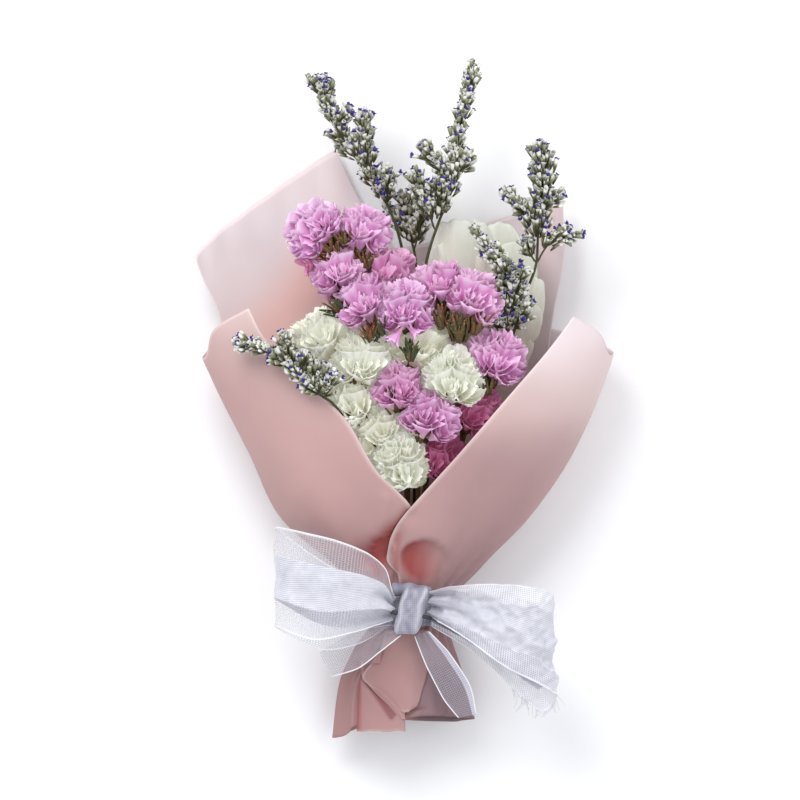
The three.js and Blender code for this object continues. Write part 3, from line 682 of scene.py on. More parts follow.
# Shares of a head's size: how far its foot lies behind it and how widely its florets stand on that foot,
# and the angle over which a row of them fans out.
headShape = {"behind": 0.72, "across": 0.3, "forwards": 0.15, "turn": 0.85}
floretKinds = table(
    "rows mouth pleats ruffle flare around shells",
    {"pink": ((4, 4, 3), 0.58, 7, 0.13, 1.3, 38, 3), "white": ((3, 4, 3), 0.68, 15, 0.09, 1.1, 56, 3)},
)
# How far each row of a head leans towards the viewer and how long its florets are, from the back row on.
rowLeans = [(-0.3, 1.0), (0.12, 0.97), (0.55, 0.86)]


# Papery petals: deep and coloured low down, pale at the rim and on the pleats' crests near it, with painted
# shade in the lines between the pleats, some florets darker in tone, a painted shaded colour where they lie
# in shade, and a painted glow in place of light shining through them.
def petalPaint(name, look):
    paint = Paint(name)
    foot, body, rim, fold, shaded = (colour(*look[key]) for key in ("foot", "body", "rim", "fold", "shaded"))
    reach = paint.mark("reach")
    tone = paint.mark("tone")
    shade = paint.mark("shade")
    crest = paint.mark("crest")
    blotch = paint.noise(300.0, 3.0, 0.6)
    vein = paint.noise(2400.0, 2.0, 0.7)
    petal = paint.mix((reach + blotch * 0.3).ramp(0.28, 0.72), foot, body)
    # Painted shade in the lines between the pleats.
    petal = paint.mix((1 - crest).ramp(0.25, 1.0) * 0.6, petal, fold)
    petal = paint.mix((reach + tone * 0.2 + crest * 0.2 + blotch * 0.2).ramp(0.95, 1.4), petal, rim)
    petal = paint.mix(tone.ramp(0.55, 1.0) * 0.3, petal, fold)
    petal = paint.mix(shade * 0.85, petal, shaded)
    return paint.finish({
        "Base Color": petal,
        "Roughness": 0.62 + vein * 0.2,
        "Specular IOR Level": 0.3,
        "Sheen Weight": 0.2,
        # A painted glow in the petal's own colour, in place of light shining through thin petals.
        "Emission Color": petal,
        "Emission Strength": look["glow"],
        "Normal": paint.bump(vein + blotch * 0.5, 0.00012, 0.7),
    })


# Each kind's petal colours: at the foot, in the body, at the rim, in the lines between the pleats (painted
# shade there, and the tone of darker florets), where it lies in shade, and the strength of its painted glow.
petalLooks = table(
    "foot body rim fold shaded glow",
    {
        "pink": ((226, 186, 196), (216, 156, 204), (242, 216, 238), (196, 118, 178), (190, 84, 132), 0.08),
        "white": ((224, 216, 190), (228, 229, 217), (243, 245, 238), (206, 205, 188), (206, 196, 168), 0.13),
        "cream": ((204, 205, 188), (206, 208, 194), (226, 230, 220), (186, 189, 170), (186, 166, 148), 0.1),
    },
)
petalMaterials = {kind: petalPaint(kind + "Petal", look) for kind, look in petalLooks.items()}


def fanOf(head):
    return Vector(head["fan"]).normalized()


# Heads that press on each other are parted by a ragged border that both of them share.
def reachLimit(name):
    own = heads[name]
    names = list(heads)
    borders = []
    for otherName, other in heads.items():
        apart = Vector(other["at"]) - Vector(own["at"])
        size = apart.length
        if otherName == name or size > own["size"] + other["size"] + 2:
            continue
        share = (size * size + own["size"] ** 2 - other["size"] ** 2) / (2 * size)
        order = 1 if names.index(name) < names.index(otherName) else -1
        borders.append((apart.normalized(), share, order, Vector(own["at"])))

    def limit(direction):
        least = 1e9
        for way, share, order, centre in borders:
            facingIt = direction.dot(way)
            if facingIt > 0.08:
                spot = centre + direction * (share / facingIt)
                ragged = 1.5 * noise.noise(spot * 0.35) + 0.8 * noise.noise(spot * 0.9)
                least = min(least, (share + order * ragged - 0.12) / facingIt)
        return least

    return limit


# One floret: a pleated funnel with a ruffled, finely toothed rim, and smaller ruffles inside it. It is
# kept in its place by fitted(spot, tooth).
def addFloret(bm, kind, foot, way, length, mouth, seed, shade, fitted):
    side = way.orthogonal().normalized()
    up = way.cross(side)
    tone = scattered(seed + 0.7)
    around = kind["around"]
    teeth = [scattered(seed * 3.1 + n) - 0.5 for n in range(around)]
    teeth.append(teeth[0])
    turns = [scattered(seed * 1.7 + n) * math.tau for n in range(7)]
    pleats = kind["pleats"] + int(4 * scattered(seed + 1.3)) - 1
    for shell in range(kind["shells"]):
        wide = mouth * (1.0, 0.66, 0.34)[shell] * mixed(0.85, 1.15, scattered(seed + shell + 2.2))
        tall = length * (1.0, 0.99, 0.96)[shell] * mixed(0.95, 1.03, scattered(seed + shell + 3.1))

        def rule(u, v):
            turn = math.tau * u
            tooth = teeth[round(u * around)]
            pleat = math.sin(pleats * turn + turns[shell] + 1.1 * math.sin(2 * turn + turns[3]))
            pleat *= 0.65 + 0.35 * math.sin(3 * turn + turns[4] + shell)
            sway = math.sin(2 * turn + turns[5] + shell) + 0.6 * math.sin(3 * turn + turns[6])
            reach = wide * (0.12 + 0.88 * v ** kind["flare"])
            wavy = (1.4 / kind["pleats"] + 0.02) * v * v * pleat + 0.13 * v * sway
            reach *= 1 + wavy + 0.12 * v**6 * tooth
            high = tall * v**0.92 - 0.22 * wide * v**5
            high += kind["ruffle"] * 2 * mouth * v**3 * (0.55 * pleat + 0.6 * sway + 0.7 * v**4 * tooth)
            spot = roundAxis(foot + way * high, side, up, reach, turn)
            marks = {"reach": v, "tone": tone, "shade": shade, "crest": 0.5 + 0.5 * pleat}
            return fitted(spot, tooth) * mm, marks

        bentGrid(bm, around, 5, rule)


# Where the florets of a head stand and the ways in which they open: rows from its back to its front,
# each side by side in the picture's plane.
def fannedOut(head, rows, seed):
    fan, radius = fanOf(head), head["size"]
    side = fan.cross(Vector((0.001, 0, 1))).normalized()
    front = side.cross(fan)
    foot = Vector(head["at"]) - fan * (headShape["behind"] * radius)
    florets = []
    for row, (lean, share) in enumerate(rowLeans):
        for n in range(rows[row]):
            place = (2 * n + 0.6 + 0.8 * scattered(seed + 5 * row + n)) / rows[row] - 1
            turn = headShape["turn"] * place
            flat = fan * math.cos(turn) + side * math.sin(turn)
            way = (flat * math.cos(lean) + front * math.sin(lean)).normalized()
            start = foot + side * (headShape["across"] * radius * place)
            start += front * (headShape["forwards"] * radius * (row - 1))
            florets.append((start, way, share))
    return florets


# True for a point inside the wrapping or in its front opening, in millimetres.
def insideWrap(point, share=0.92):
    middle = (profiles["left"](point.y) + profiles["right"](point.y)) / 2
    across = (profiles["right"](point.y) - profiles["left"](point.y)) / 2
    upright = profiles["front"](point.y) - profiles["widest"](point.y)
    x, z = (point.x - middle) / across, (point.z - profiles["widest"](point.y)) / upright
    angle = math.degrees(math.atan2(z, x))
    rightEdge = films["film_front_right"]["start"](point.y)
    leftEdge = films["film_front_left"]["start"](point.y)
    return rightEdge + 1 < angle < leftEdge - 4 or math.hypot(x, z) < share


for number, (name, head) in enumerate(heads.items()):
    kindName = name.split("_")[0]
    if kindName == "cream":
        continue
    kind = floretKinds[kindName]
    bm = freshMesh("reach", "tone", "shade", "crest")
    limit = reachLimit(name)
    centre, radius = Vector(head["at"]), head["size"]

    def fitted(spot, tooth):
        apart = spot - centre
        size = apart.length
        direction = apart / size
        reach = min(size, limit(direction) - 0.3 * (0.5 + tooth), radius * (1.06 + 0.06 * tooth))
        placed = centre + direction * reach
        while placed.y < 12 and not insideWrap(placed, 0.93) and reach > 1:
            reach *= 0.94
            placed = centre + direction * reach
        return placed

    for n, (foot, way, share) in enumerate(fannedOut(head, kind["rows"], number + 1)):
        seed = 31 * number + 7.3 * n
        slant = (centre - foot).dot(way)
        beyond = max(0.1, slant * slant + radius * radius - (centre - foot).length_squared)
        length = share * (slant + math.sqrt(beyond)) * mixed(0.92, 1.05, scattered(seed + 0.3))
        shade = held(head["shade"] + 0.3 * held(0.1 - way.z))
        addFloret(bm, kind, foot, way, length, kind["mouth"] * radius, seed, shade, fitted)
    pieceName = name.replace("tuft", "florets")
    asPiece(welded(bm), pieceName, petalMaterials[kindName], kindName + "_petal", [name])


# Broad smooth petals of the cream flowers: foot, tip, half breadth, rise of the middle and shade.
creamPetals = {
    "cream_head_01": [
        ((31, 34, 21), (26.5, 66.5, 27), 8.5, 3.0, 0.0),
        ((23, 32, 25), (20.5, 67, 31), 11.5, 3.6, 0.0),
        ((20, 36, 27), (14.5, 58, 31), 5.5, 1.6, 0.05),
        ((30, 32, 26), (33, 55, 32), 7.0, 2.0, 0.2),
    ],
    "cream_head_02": [
        ((38, 34, 19), (36, 65.5, 23), 10.5, 3.0, 0.0),
        ((42, 34, 21), (42.5, 58.5, 25), 8.5, 2.4, 0.05),
        ((43, 30, 24), (45.5, 50, 27), 5.5, 1.8, 0.15),
    ],
    "cream_head_03": [
        ((43, 20, 21), (50.5, 45.5, 24), 6.0, 2.4, 0.1),
        ((42, 17, 24), (49.0, 36, 27), 6.5, 2.2, 0.2),
    ],
    "cream_head_04": [
        ((38, 8, 22), (46, 27, 26), 6.5, 2.2, 0.3),
        ((37, 6, 24), (41.5, 22, 28), 6.0, 2.0, 0.5),
    ],
}
petalGrid = (38, 28)
petalThickness = 0.3


def addPetal(bm, foot, tip, breadth, rise, shade, seed):
    foot, tip = Vector(foot), Vector(tip)
    way = tip - foot
    side = way.cross(Vector((0, 0, 1))).normalized()

    def rule(u, v):
        across = 2 * u - 1
        wave = noise.noise(Vector((3 * across, 0.5, seed)))
        uneven = 1 + 0.06 * noise.noise(Vector((seed, across, 3 * v)))
        half = breadth * (0.45 + 0.55 * eased(0, 0.55, v)) * (1 - 0.28 * v**5) * uneven
        reach = v * (1 - 0.15 * abs(across) ** 3 * v + 0.035 * wave * v * v)
        fold = math.sin(5 * across + 2 * wave + seed) * (0.3 + 0.7 * v)
        lift = rise * (1 - across * across) * math.sin(math.pi * (0.15 + 0.75 * v)) + 0.35 * fold
        lift += 0.5 * noise.noise(Vector((2 * across, 3 * v, seed))) - 1.2 * (v * across * across)
        vein = 0.5 + 0.5 * math.sin(34 * across + 4 * noise.noise(Vector((across, 2 * v, seed))))
        marks = {"reach": 0.5 + 0.42 * v**3, "tone": 0.3}
        # Darker along the fine veins near the foot, and painted shade in the valleys of the folds.
        marks["crest"] = 1 - 0.3 * vein * (1 - v) - 0.25 * held(-fold)
        marks["shade"] = held(shade + 0.2 * (1 - v) + 0.12 * held(-fold))
        return (foot + way * reach + side * (half * across) + Vector((0, 0, lift))) * mm, marks

    bentGrid(bm, *petalGrid, rule)


for number, (name, petals) in enumerate(creamPetals.items()):
    bm = freshMesh("reach", "tone", "shade", "crest")
    for order, petal in enumerate(petals):
        addPetal(bm, *petal, 3.3 * number + order)
    pieceName = name.replace("head", "florets")
    piece = asPiece(welded(bm), pieceName, petalMaterials["cream"], "cream_petal", [name])
    thickened(piece, petalThickness)


# Single florets that stand apart: a withered one beside the upper heads, a papery bud below them, and
# pale petals that fold down over the white heads. Each has its foot, way, length, mouth and shade.
strayFlorets = {
    "withered": ((-28.5, 53, 41), (-0.75, -0.35, 0.3), 9.5, 4.2, 0.75),
    "bud": ((-24, 33.5, 42), (-0.35, 0.85, 0.3), 9, 3.4, 0.45),
    "folded": ((1.2, 27.5, 56), (-0.55, -0.8, 0.1), 8, 2.6, 0.0),
    "turned": ((2.4, 27.5, 56), (0.75, -0.6, 0.1), 6, 2.4, 0.0),
    "pale": ((6, 24, 50), (0.35, 0.9, 0.3), 9, 4.2, 0.0),
}
bm = freshMesh("reach", "tone", "shade", "crest")
for number, (foot, way, length, mouth, shade) in enumerate(strayFlorets.values()):
    kind = dict(floretKinds["pink"], shells=2)
    way = Vector(way).normalized()
    addFloret(bm, kind, Vector(foot), way, length, mouth, 5.1 + number, shade, lambda spot, tooth: spot)
asPiece(welded(bm), "pink_florets_single", petalMaterials["pink"], "pink_petal")
print("florets made")


# Dried stems, green with rust towards the bracts.
paint = Paint("driedStem")
fibre = paint.noise(700.0, 4.0, 0.65)
body = paint.mix(paint.noise(90.0, 3.0).ramp(0.35, 0.65), colour(104, 104, 62), colour(128, 110, 72))
body = paint.mix(fibre.ramp(0.5, 0.8) * 0.6, body, colour(160, 142, 96))
stemMaterial = paint.finish({
    "Base Color": body,
    "Roughness": 0.7 + fibre * 0.2,
    "Normal": paint.bump(fibre, 0.0003, 0.8),
})
paint = Paint("bract")
reach = paint.mark("reach")
tone = paint.mark("tone")
grain = paint.noise(900.0, 3.0, 0.6)
body = paint.mix(tone.ramp(0.15, 0.6), colour(48, 60, 28), colour(98, 76, 44))
rust = (reach * 0.5 + tone * 0.6 + grain * 0.5).ramp(0.97, 1.27)
body = paint.mix(rust, body, colour(142, 62, 44))
body = paint.mix(grain.ramp(0.55, 0.75) * 0.5, body, colour(176, 148, 104))
body = paint.mix(reach.ramp(0.93, 1.0) * 0.5, body, colour(206, 176, 140))
bractMaterial = paint.finish({
    "Base Color": body,
    "Roughness": 0.6 + grain * 0.2,
    "Normal": paint.bump(grain, 0.0002, 0.8),
})
paint = Paint("tieElastic")
grain = paint.noise(1500.0, 2.0, 0.6)
tieMaterial = paint.finish({
    "Base Color": paint.mix(grain, colour(34, 34, 40), colour(62, 60, 68)),
    "Roughness": 0.45 + grain * 0.2,
    "Normal": paint.bump(grain, 0.0002, 0.8),
})
for name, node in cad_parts.items():
    if name.startswith("stem_"):
        node.data.materials.clear()
        node.data.materials.append(tieMaterial if name == "stem_tie" else stemMaterial)


bractThickness = 0.15


# A pointed, cupped scale leaf from a foot, growing along way and opening towards out.
def addBract(bm, foot, way, out, length, width, tone):
    side = way.cross(out).normalized()

    def rule(u, v):
        across = 2 * u - 1
        half = width * math.sin(math.pi * min(0.98, 0.12 + 0.86 * v)) ** 0.8 * (1 - 0.35 * v)
        lift = 0.4 * width * across * across - 0.12 * length * v * v * math.sin(9 * tone)
        place = foot + way * (length * v) + side * (across * half) - out * lift
        return place * mm, {"reach": v, "tone": tone}

    bentGrid(bm, 2, 5, rule)


# Clusters that show between the heads, brown and rust ones and dark green leaves: the foot of each, its
# way, how many bracts it has, their length and their tone.
bractClusters = {
    "upper_left": ((-23, 51, 46), (-0.55, 0.8, 0.15), 30, 7, 0.7),
    "upper_middle": ((-20, 56, 46), (-0.3, 0.9, 0.15), 18, 6, 0.7),
    "upper_right": ((-12.5, 47, 44), (0.05, 1, 0.1), 24, 6.5, 0.6),
    "left": ((-20, 31, 47), (-0.35, 0.9, 0.1), 26, 6.5, 0.6),
    "left_leaf": ((-17.5, 31.5, 48), (-0.85, 0.5, 0.1), 3, 9, 0.0),
    "middle": ((-10.8, 21, 55), (-0.1, 1, 0.1), 16, 5.5, 0.8),
    "middle_leaf": ((-6, 22, 55), (-0.5, 0.8, 0.1), 6, 6.5, 0.0),
    "wide_left": ((16, 26, 50), (-0.2, 1, 0.1), 26, 7.5, 0.6),
    "wide_middle": ((21.5, 21, 50), (0.0, 1, 0.1), 44, 8.5, 0.55),
    "wide_right": ((27, 24, 50), (0.25, 1, 0.1), 30, 7.5, 0.65),
    "centre": ((3.5, 14, 55), (0.05, 1, 0.0), 22, 6.5, 0.25),
    "right": ((32.5, 1.5, 46), (0.0, 1, 0.1), 20, 6, 0.5),
    "lower_left": ((-3, 0, 53), (0.2, 1, 0.1), 12, 4, 0.3),
    "lower_right": ((6, -13, 52), (0.2, 1, 0.1), 18, 5, 0.4),
}


def addBracts(bm, foot, fan, count, length, tone, seed):
    side = fan.orthogonal().normalized()
    for n in range(int(1.4 * count)):
        out = Matrix.Rotation(n * goldenTurn + seed, 3, fan) @ side
        heading = (fan + out * mixed(0.1, 0.8, scattered(seed + n))).normalized()
        spread = length * mixed(0.02, 0.42, scattered(seed + n + 6))
        start = foot + fan * (0.45 * length * scattered(seed + n + 5)) + out * spread
        size = length * mixed(0.7, 1.15, scattered(seed + n + 9))
        if insideWrap(start + heading * size):
            bractTone = held(tone + 0.5 * scattered(seed + n + 13) - 0.25)
            addBract(bm, start, heading, out, size, 0.16 * size, bractTone)


headBracts = {"count": 18, "length": 8.6, "tone": 0.5}
for number, stemName in enumerate(dict.fromkeys(head["stem"] for head in heads.values() if "stem" in head)):
    bm = freshMesh("reach", "tone")
    for order, head in enumerate(h for h in heads.values() if h.get("stem") == stemName):
        foot = Vector(head["at"]) - fanOf(head) * head["size"]
        addBracts(bm, foot, fanOf(head), *headBracts.values(), 9 * number + order)
    thickened(asPiece(bm, "bracts_" + stemName, bractMaterial, "stem"), bractThickness)
bm = freshMesh("reach", "tone")
for number, (foot, way, *look) in enumerate(bractClusters.values()):
    addBracts(bm, Vector(foot), Vector(way).normalized(), *look, 60 + 7 * number)
thickened(asPiece(bm, "bracts_between_heads", bractMaterial, "stem"), bractThickness)
print("stems and bracts made")


# Sprays of sea lavender: the main stem above the neck and its side branches, each with the share of
# its length from which the small calyces grow and, where it isn't 1, how widely they stand.
sprays = {
    "lavender_tall_left": [
        (
            [(2, 48, 26), (-3, 68.5, 28), (-8, 78, 29), (-14, 87.5, 30)]
            + [(-21.5, 98, 31), (-27, 108.5, 31), (-28.5, 117, 30)],
            0.28,
            1.5,
        ),
        ([(-10, 81.5, 29.5), (-12, 89, 33), (-13, 97, 34), (-13.6, 104.5, 34)], 0.25),
        ([(-22.5, 99.5, 31), (-22, 103, 34), (-20, 105, 35)], 0.2),
        ([(-5, 72, 28.5), (-4.6, 77, 33), (-4.2, 82, 35)], 0.1),
        ([(-27.5, 110, 31), (-30, 114, 33), (-32.5, 117, 34)], 0.2),
        ([(-14, 87.5, 30), (-19, 92, 27), (-21.5, 95.5, 25)], 0.2),
    ],
    "lavender_tall_middle": [
        (
            [(9, 46, 34), (11, 56, 35), (14.6, 66.5, 36), (18.2, 76, 37), (20, 85, 38)]
            + [(21, 93.5, 38), (23.2, 104.5, 38), (25.6, 113, 37), (27.4, 121.5, 36)],
            0.36,
            1.3,
        ),
        ([(19, 78.5, 37), (14, 86, 39), (9, 92, 40)], 0.15),
        ([(19.5, 81, 37.5), (23, 85.5, 38), (25.5, 89, 38.5)], 0.2),
        ([(13, 62.5, 36), (9.5, 72.5, 38), (5, 81.5, 39)], 0.2, 1.7),
        ([(15, 67.5, 36), (14.5, 74, 40), (14.2, 79, 42)], 0.1, 1.5),
    ],
    "lavender_low_middle": [
        ([(6, 50, 24), (4, 60, 24), (2.3, 67, 25), (1.6, 73, 26)], 0.25),
        ([(5, 55, 24), (7, 62, 27), (8, 68, 29)], 0.2),
        ([(4, 60, 24), (-1, 65, 23), (-4, 69, 22)], 0.2),
        ([(2.4, 66.5, 25), (4.5, 72, 25), (6, 76, 26)], 0.2),
    ],
    "lavender_forked_right": [
        (
            [(28, 0, 23), (40.5, 21, 32), (46, 38, 42), (50.3, 50, 44), (51, 60, 44)]
            + [(51.5, 68, 45), (53, 78, 46), (52.3, 86, 46), (51.2, 92, 46)],
            0.5,
            2.2,
        ),
        ([(51, 62, 44), (48, 68, 45), (43.5, 71.5, 46), (39.8, 75.5, 46)], 0.2),
        ([(51.8, 70, 45), (55, 72, 46), (58, 73.5, 46)], 0.3),
        ([(50.3, 50, 44), (54, 56.5, 45), (58.5, 60.5, 46), (63.5, 60.5, 46)], 0.3),
        ([(50, 51, 44), (48, 54.5, 45), (46.4, 57.5, 46)], 0.3),
        (
            [(43.3, 28.5, 37), (40.6, 37, 43), (39.4, 46, 46)]
            + [(36.5, 51.5, 46), (32, 56, 46), (28.4, 60, 46)],
            0.2,
            1.4,
        ),
        ([(40.3, 38.5, 43.5), (43, 43, 47), (44.3, 46, 49)], 0.2),
        ([(40.4, 31, 43), (43, 38, 46), (44.2, 43, 48)], 0.15),
        ([(40.3, 29, 43), (37.5, 35, 46), (36, 40, 48)], 0.15),
        ([(41, 24, 38), (44.5, 30, 43), (46.8, 34, 45)], 0.2),
        ([(40.8, 24, 38), (38, 27, 43), (36.5, 28, 45)], 0.2),
    ],
    "lavender_low_left": [
        (
            [(-17, -13, 36), (-21.5, -5.5, 46), (-25.4, -0.8, 52.5), (-28.8, 1.4, 55), (-34.1, 5.1, 56)]
            + [(-40.4, 11.6, 56), (-47.7, 17, 55.5), (-55, 19.7, 54), (-58.3, 20.4, 53)],
            0.4,
        ),
        ([(-30.5, 2, 55.3), (-28.5, 6, 56.5), (-27, 9.5, 57.5)], 0.1),
        ([(-28.5, 0.3, 55), (-26.5, 3.5, 56.5), (-25.5, 7, 57.5)], 0.1),
        ([(-33, 4, 55.7), (-32, 8, 57), (-31, 11.5, 57.5)], 0.1),
        ([(-36.9, 8, 56), (-36.3, 11.5, 57), (-35.3, 15, 58)], 0.1),
        ([(-40.4, 11.6, 56), (-41.5, 17, 57), (-43, 21.5, 57)], 0.2),
    ],
}
calyx = {"length": 4.0, "foot": 0.28, "mouth": 0.74, "sides": 6, "spacing": 0.14, "blooms": 0.17}
# Radius at the foot and at the tip, sides and steps.
sprayStem = {"thick": 0.7, "thin": 0.35, "sides": 6, "steps": 80}
sprayBranch = {"thick": 0.42, "thin": 0.25, "sides": 5, "steps": 14}

paint = Paint("seaLavender")
reach = paint.mark("reach")
tone = paint.mark("tone")
grain = paint.noise(1600.0, 3.0, 0.6)
body = paint.mix(tone, colour(58, 66, 32), colour(80, 72, 48))
body = paint.mix((reach + grain * 0.3).ramp(0.45, 0.95), body, colour(140, 142, 112))
body = paint.mix((reach + tone * 0.5).ramp(0.92, 1.2), body, colour(233, 233, 226))
body = paint.mix(paint.mark("bloom"), body, colour(66, 54, 142))
sprayMaterial = paint.finish({
    "Base Color": body,
    "Roughness": 0.65 + grain * 0.2,
    "Normal": paint.bump(grain, 0.00015, 0.8),
})


# A thin round stem along a path, tapering, closed at its ends.
def addRod(bm, path, thick, thin, sides, steps, marks):
    def rule(u, v):
        heading = headingOf(path, v)
        side = heading.cross(Vector((0.2, 0.1, 1))).normalized()
        up = heading.cross(side)
        radius = mixed(thick, thin, v) * (1.0 if 0.001 < v < 0.999 else 0.05)
        return roundAxis(path(v), side, up, radius, math.tau * u) * mm, marks

    return bentGrid(bm, sides, steps, rule)


# One calyx: a small ribbed funnel, green at its foot and papery white at its mouth.
def addCalyx(bm, foot, heading, size, tone, bloom):
    side = heading.orthogonal().normalized()
    up = heading.cross(side)
    spin = 6.28 * tone

    def rule(u, v):
        turn = math.tau * u + spin
        radius = mixed(calyx["foot"], calyx["mouth"], v**0.7) * size * (1 + 0.16 * v * math.cos(3 * turn))
        height = calyx["length"] * size * (v + 0.12 * v * v * math.cos(5 * turn))
        return roundAxis(foot + heading * height, side, up, radius, turn) * mm, {"reach": v, "tone": tone}

    bentGrid(bm, calyx["sides"], 3, rule)
    if bloom:

        def petals(u, v):
            turn = math.tau * u + spin
            radius = mixed(0.15, 0.85 + 0.25 * math.cos(5 * turn), v) * size
            height = (calyx["length"] * mixed(0.85, 1.12, v) + 0.2 * math.sin(3 * turn) * v) * size
            place = roundAxis(foot + heading * height, side, up, radius, turn)
            return place * mm, {"reach": 1.0, "tone": tone, "bloom": 1.0}

        bentGrid(bm, 8, 2, petals)


def clearOfHeads(point):
    return all((point - Vector(head["at"])).length > head["size"] * 0.95 for head in heads.values())


neckRows = (-110, -95, -84, -72)  # where each spray's stem is led through the neck


# The place where a node's stem runs through the tied neck.
def neckPlace(name):
    low = [v.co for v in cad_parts[name].data.vertices if v.co.y < -0.1]
    return sum(v.x for v in low) / len(low) / mm, sum(v.z for v in low) / len(low) / mm


for number, (name, branches) in enumerate(sprays.items()):
    bm = freshMesh("reach", "tone", "bloom")
    x, z = neckPlace(name)
    trunk = pathThrough([*((x, y, z) for y in neckRows), *branches[0][0]])
    addRod(bm, trunk, *sprayStem.values(), {"reach": 0.1, "tone": 0.3})
    for branchNumber, (points, calycesFrom, *breadths) in enumerate(branches):
        path = pathThrough(points)
        breadth = breadths[0] if breadths else 1
        if branchNumber:
            addRod(bm, path, *sprayBranch.values(), {"reach": 0.1, "tone": 0.5})
        length = lengthOf(path, 40)
        count = int(length * (1 - calycesFrom) / calyx["spacing"])
        for n in range(count + 1):
            seed = 100 * number + 31 * branchNumber + n * 1.37
            share = calycesFrom + (1 - calycesFrom) * n / count
            clump = 0.5 + 0.5 * math.sin(share * length * 0.9 + branchNumber)
            heading = headingOf(path, share)
            side = heading.cross(Vector((0.1, 0.2, 1))).normalized()
            out = Matrix.Rotation(n * goldenTurn + scattered(seed), 3, heading) @ side
            if out.y < -0.15 and scattered(seed + 2) < 0.7:
                out = -out
            lean = mixed(0.2, 0.8, scattered(seed + 3)) * (0.3 if share > 0.97 else 1)
            way = (heading + out * lean).normalized()
            size = mixed(0.75, 1.2, scattered(seed + 7)) * mixed(0.85, 1.1, clump)
            apart = mixed(0.3, 2.7 * breadth, scattered(seed + 11))
            foot = path(share) + out * apart * mixed(0.5, 1.0, clump) * (1.15 - 0.5 * share)
            if clearOfHeads(foot + way * calyx["length"]):
                bloomed = scattered(seed + 17) < calyx["blooms"] * (0.4 + 1.8 * clump)
                addCalyx(bm, foot, way, size, scattered(seed + 23), bloomed)
    asPiece(welded(bm), name.replace("lavender", "sea_lavender"), sprayMaterial, "lavender", [name])
print("sprays made")


# The ribbon: sheer organza with a satin band along its middle and corded edges.
ribbon = {"width": 38, "weave": 0.8, "cord": 0.22, "thread": (0.13, 0.09)}


def ribbonPaint(name, look):
    paint = Paint(name)
    cloth = paint.node("ShaderNodeUVMap", {"uv_map": "cloth"}, {})
    along, across = paint.sides(cloth)[:2]
    threads = 2 * math.pi / ribbon["weave"]
    warp = ((along * threads).sine() * 0.5 + 0.5) ** 1.5
    weft = ((across * threads).sine() * 0.5 + 0.5) ** 1.5
    net = warp.most(weft)
    rib = (across * 8.0 + along * look.get("slant", 0.0)).sine() * 0.5 + 0.5
    uneven = paint.noise(120.0, 3.0, 0.6)
    rumple = paint.noise(260.0, 4.0, 0.6)
    outwards = across.size() + (uneven - 0.5) * look["ragged"]
    middle = 1 - outwards.ramp(look["band"] - 0.4, look["band"] + 0.4)
    crease = paint.mark("crease")
    edge = paint.mark("edge")
    body = paint.mix(net * look["net"] + rumple * 0.5, colour(*look["dim"]), colour(*look["bright"]))
    satin = paint.mix(rib * 0.6 + (rumple - 0.25), colour(178, 178, 190), colour(228, 228, 235))
    body = paint.mix(middle, body, satin)
    body = paint.mix(crease * look["shadow"], body, colour(122, 120, 140))
    border = across.ramp(*look.get("border", (90.0, 91.0)))  # past the edge where there is none
    body = paint.mix(border * 0.85, body, colour(206, 204, 218))
    body = paint.mix(edge, body, colour(240, 240, 244))
    low, high = look["cover"]
    veil = low + net * (high - low) + uneven * 0.08 + crease * 0.2
    height = net * (1 - middle) * look["net"] + rib * middle * 0.5 + rumple
    return paint.finish({
        "Base Color": body,
        "Roughness": 0.5 - middle * 0.12 + rumple * 0.1,
        "Alpha": (veil + middle * 0.9 + border * 0.45 + edge).least(1.0),
        "Specular IOR Level": 0.45,
        "Sheen Weight": 0.3,
        "Normal": paint.bump(height, 0.00022, 0.7),
    })


# Looks of the ribbon: the dull and the bright tone of its threads and how much they differ, how dark its
# folds are, half the width of its satin band and how ragged that is, how much the open and the dense
# places cover, the slant of its ribs, and where a border starts.
ribbonLooks = table(
    "dim bright net shadow band ragged cover slant border",
    {
        "organzaSatin": ((204, 204, 216), (240, 240, 246), 0.6, 0.6, 8.2, 0.5, (0.07, 0.36), 2.4),
        "organzaCrumpled": ((204, 204, 216), (240, 240, 246), 0.6, 0.6, 10.5, 9.0, (0.34, 0.72)),
        "organzaPale": ((108, 98, 112), (212, 209, 219), 0.8, 0.35, -20.0, 0.0, (0.1, 0.42)),
        "organza": ((70, 60, 72), (178, 173, 185), 0.9, 0.3, -20.0, 0.0, (0.14, 0.62), 0.0, (3.4, 3.9)),
        "organzaGathered": ((116, 114, 130), (206, 206, 217), 0.4, 0.8, -20.0, 0.0, (0.9, 0.98)),
    },
)
ribbonMaterials = {name: ribbonPaint(name, look) for name, look in ribbonLooks.items()}
gatherMaterial = ribbonMaterials["organzaGathered"]

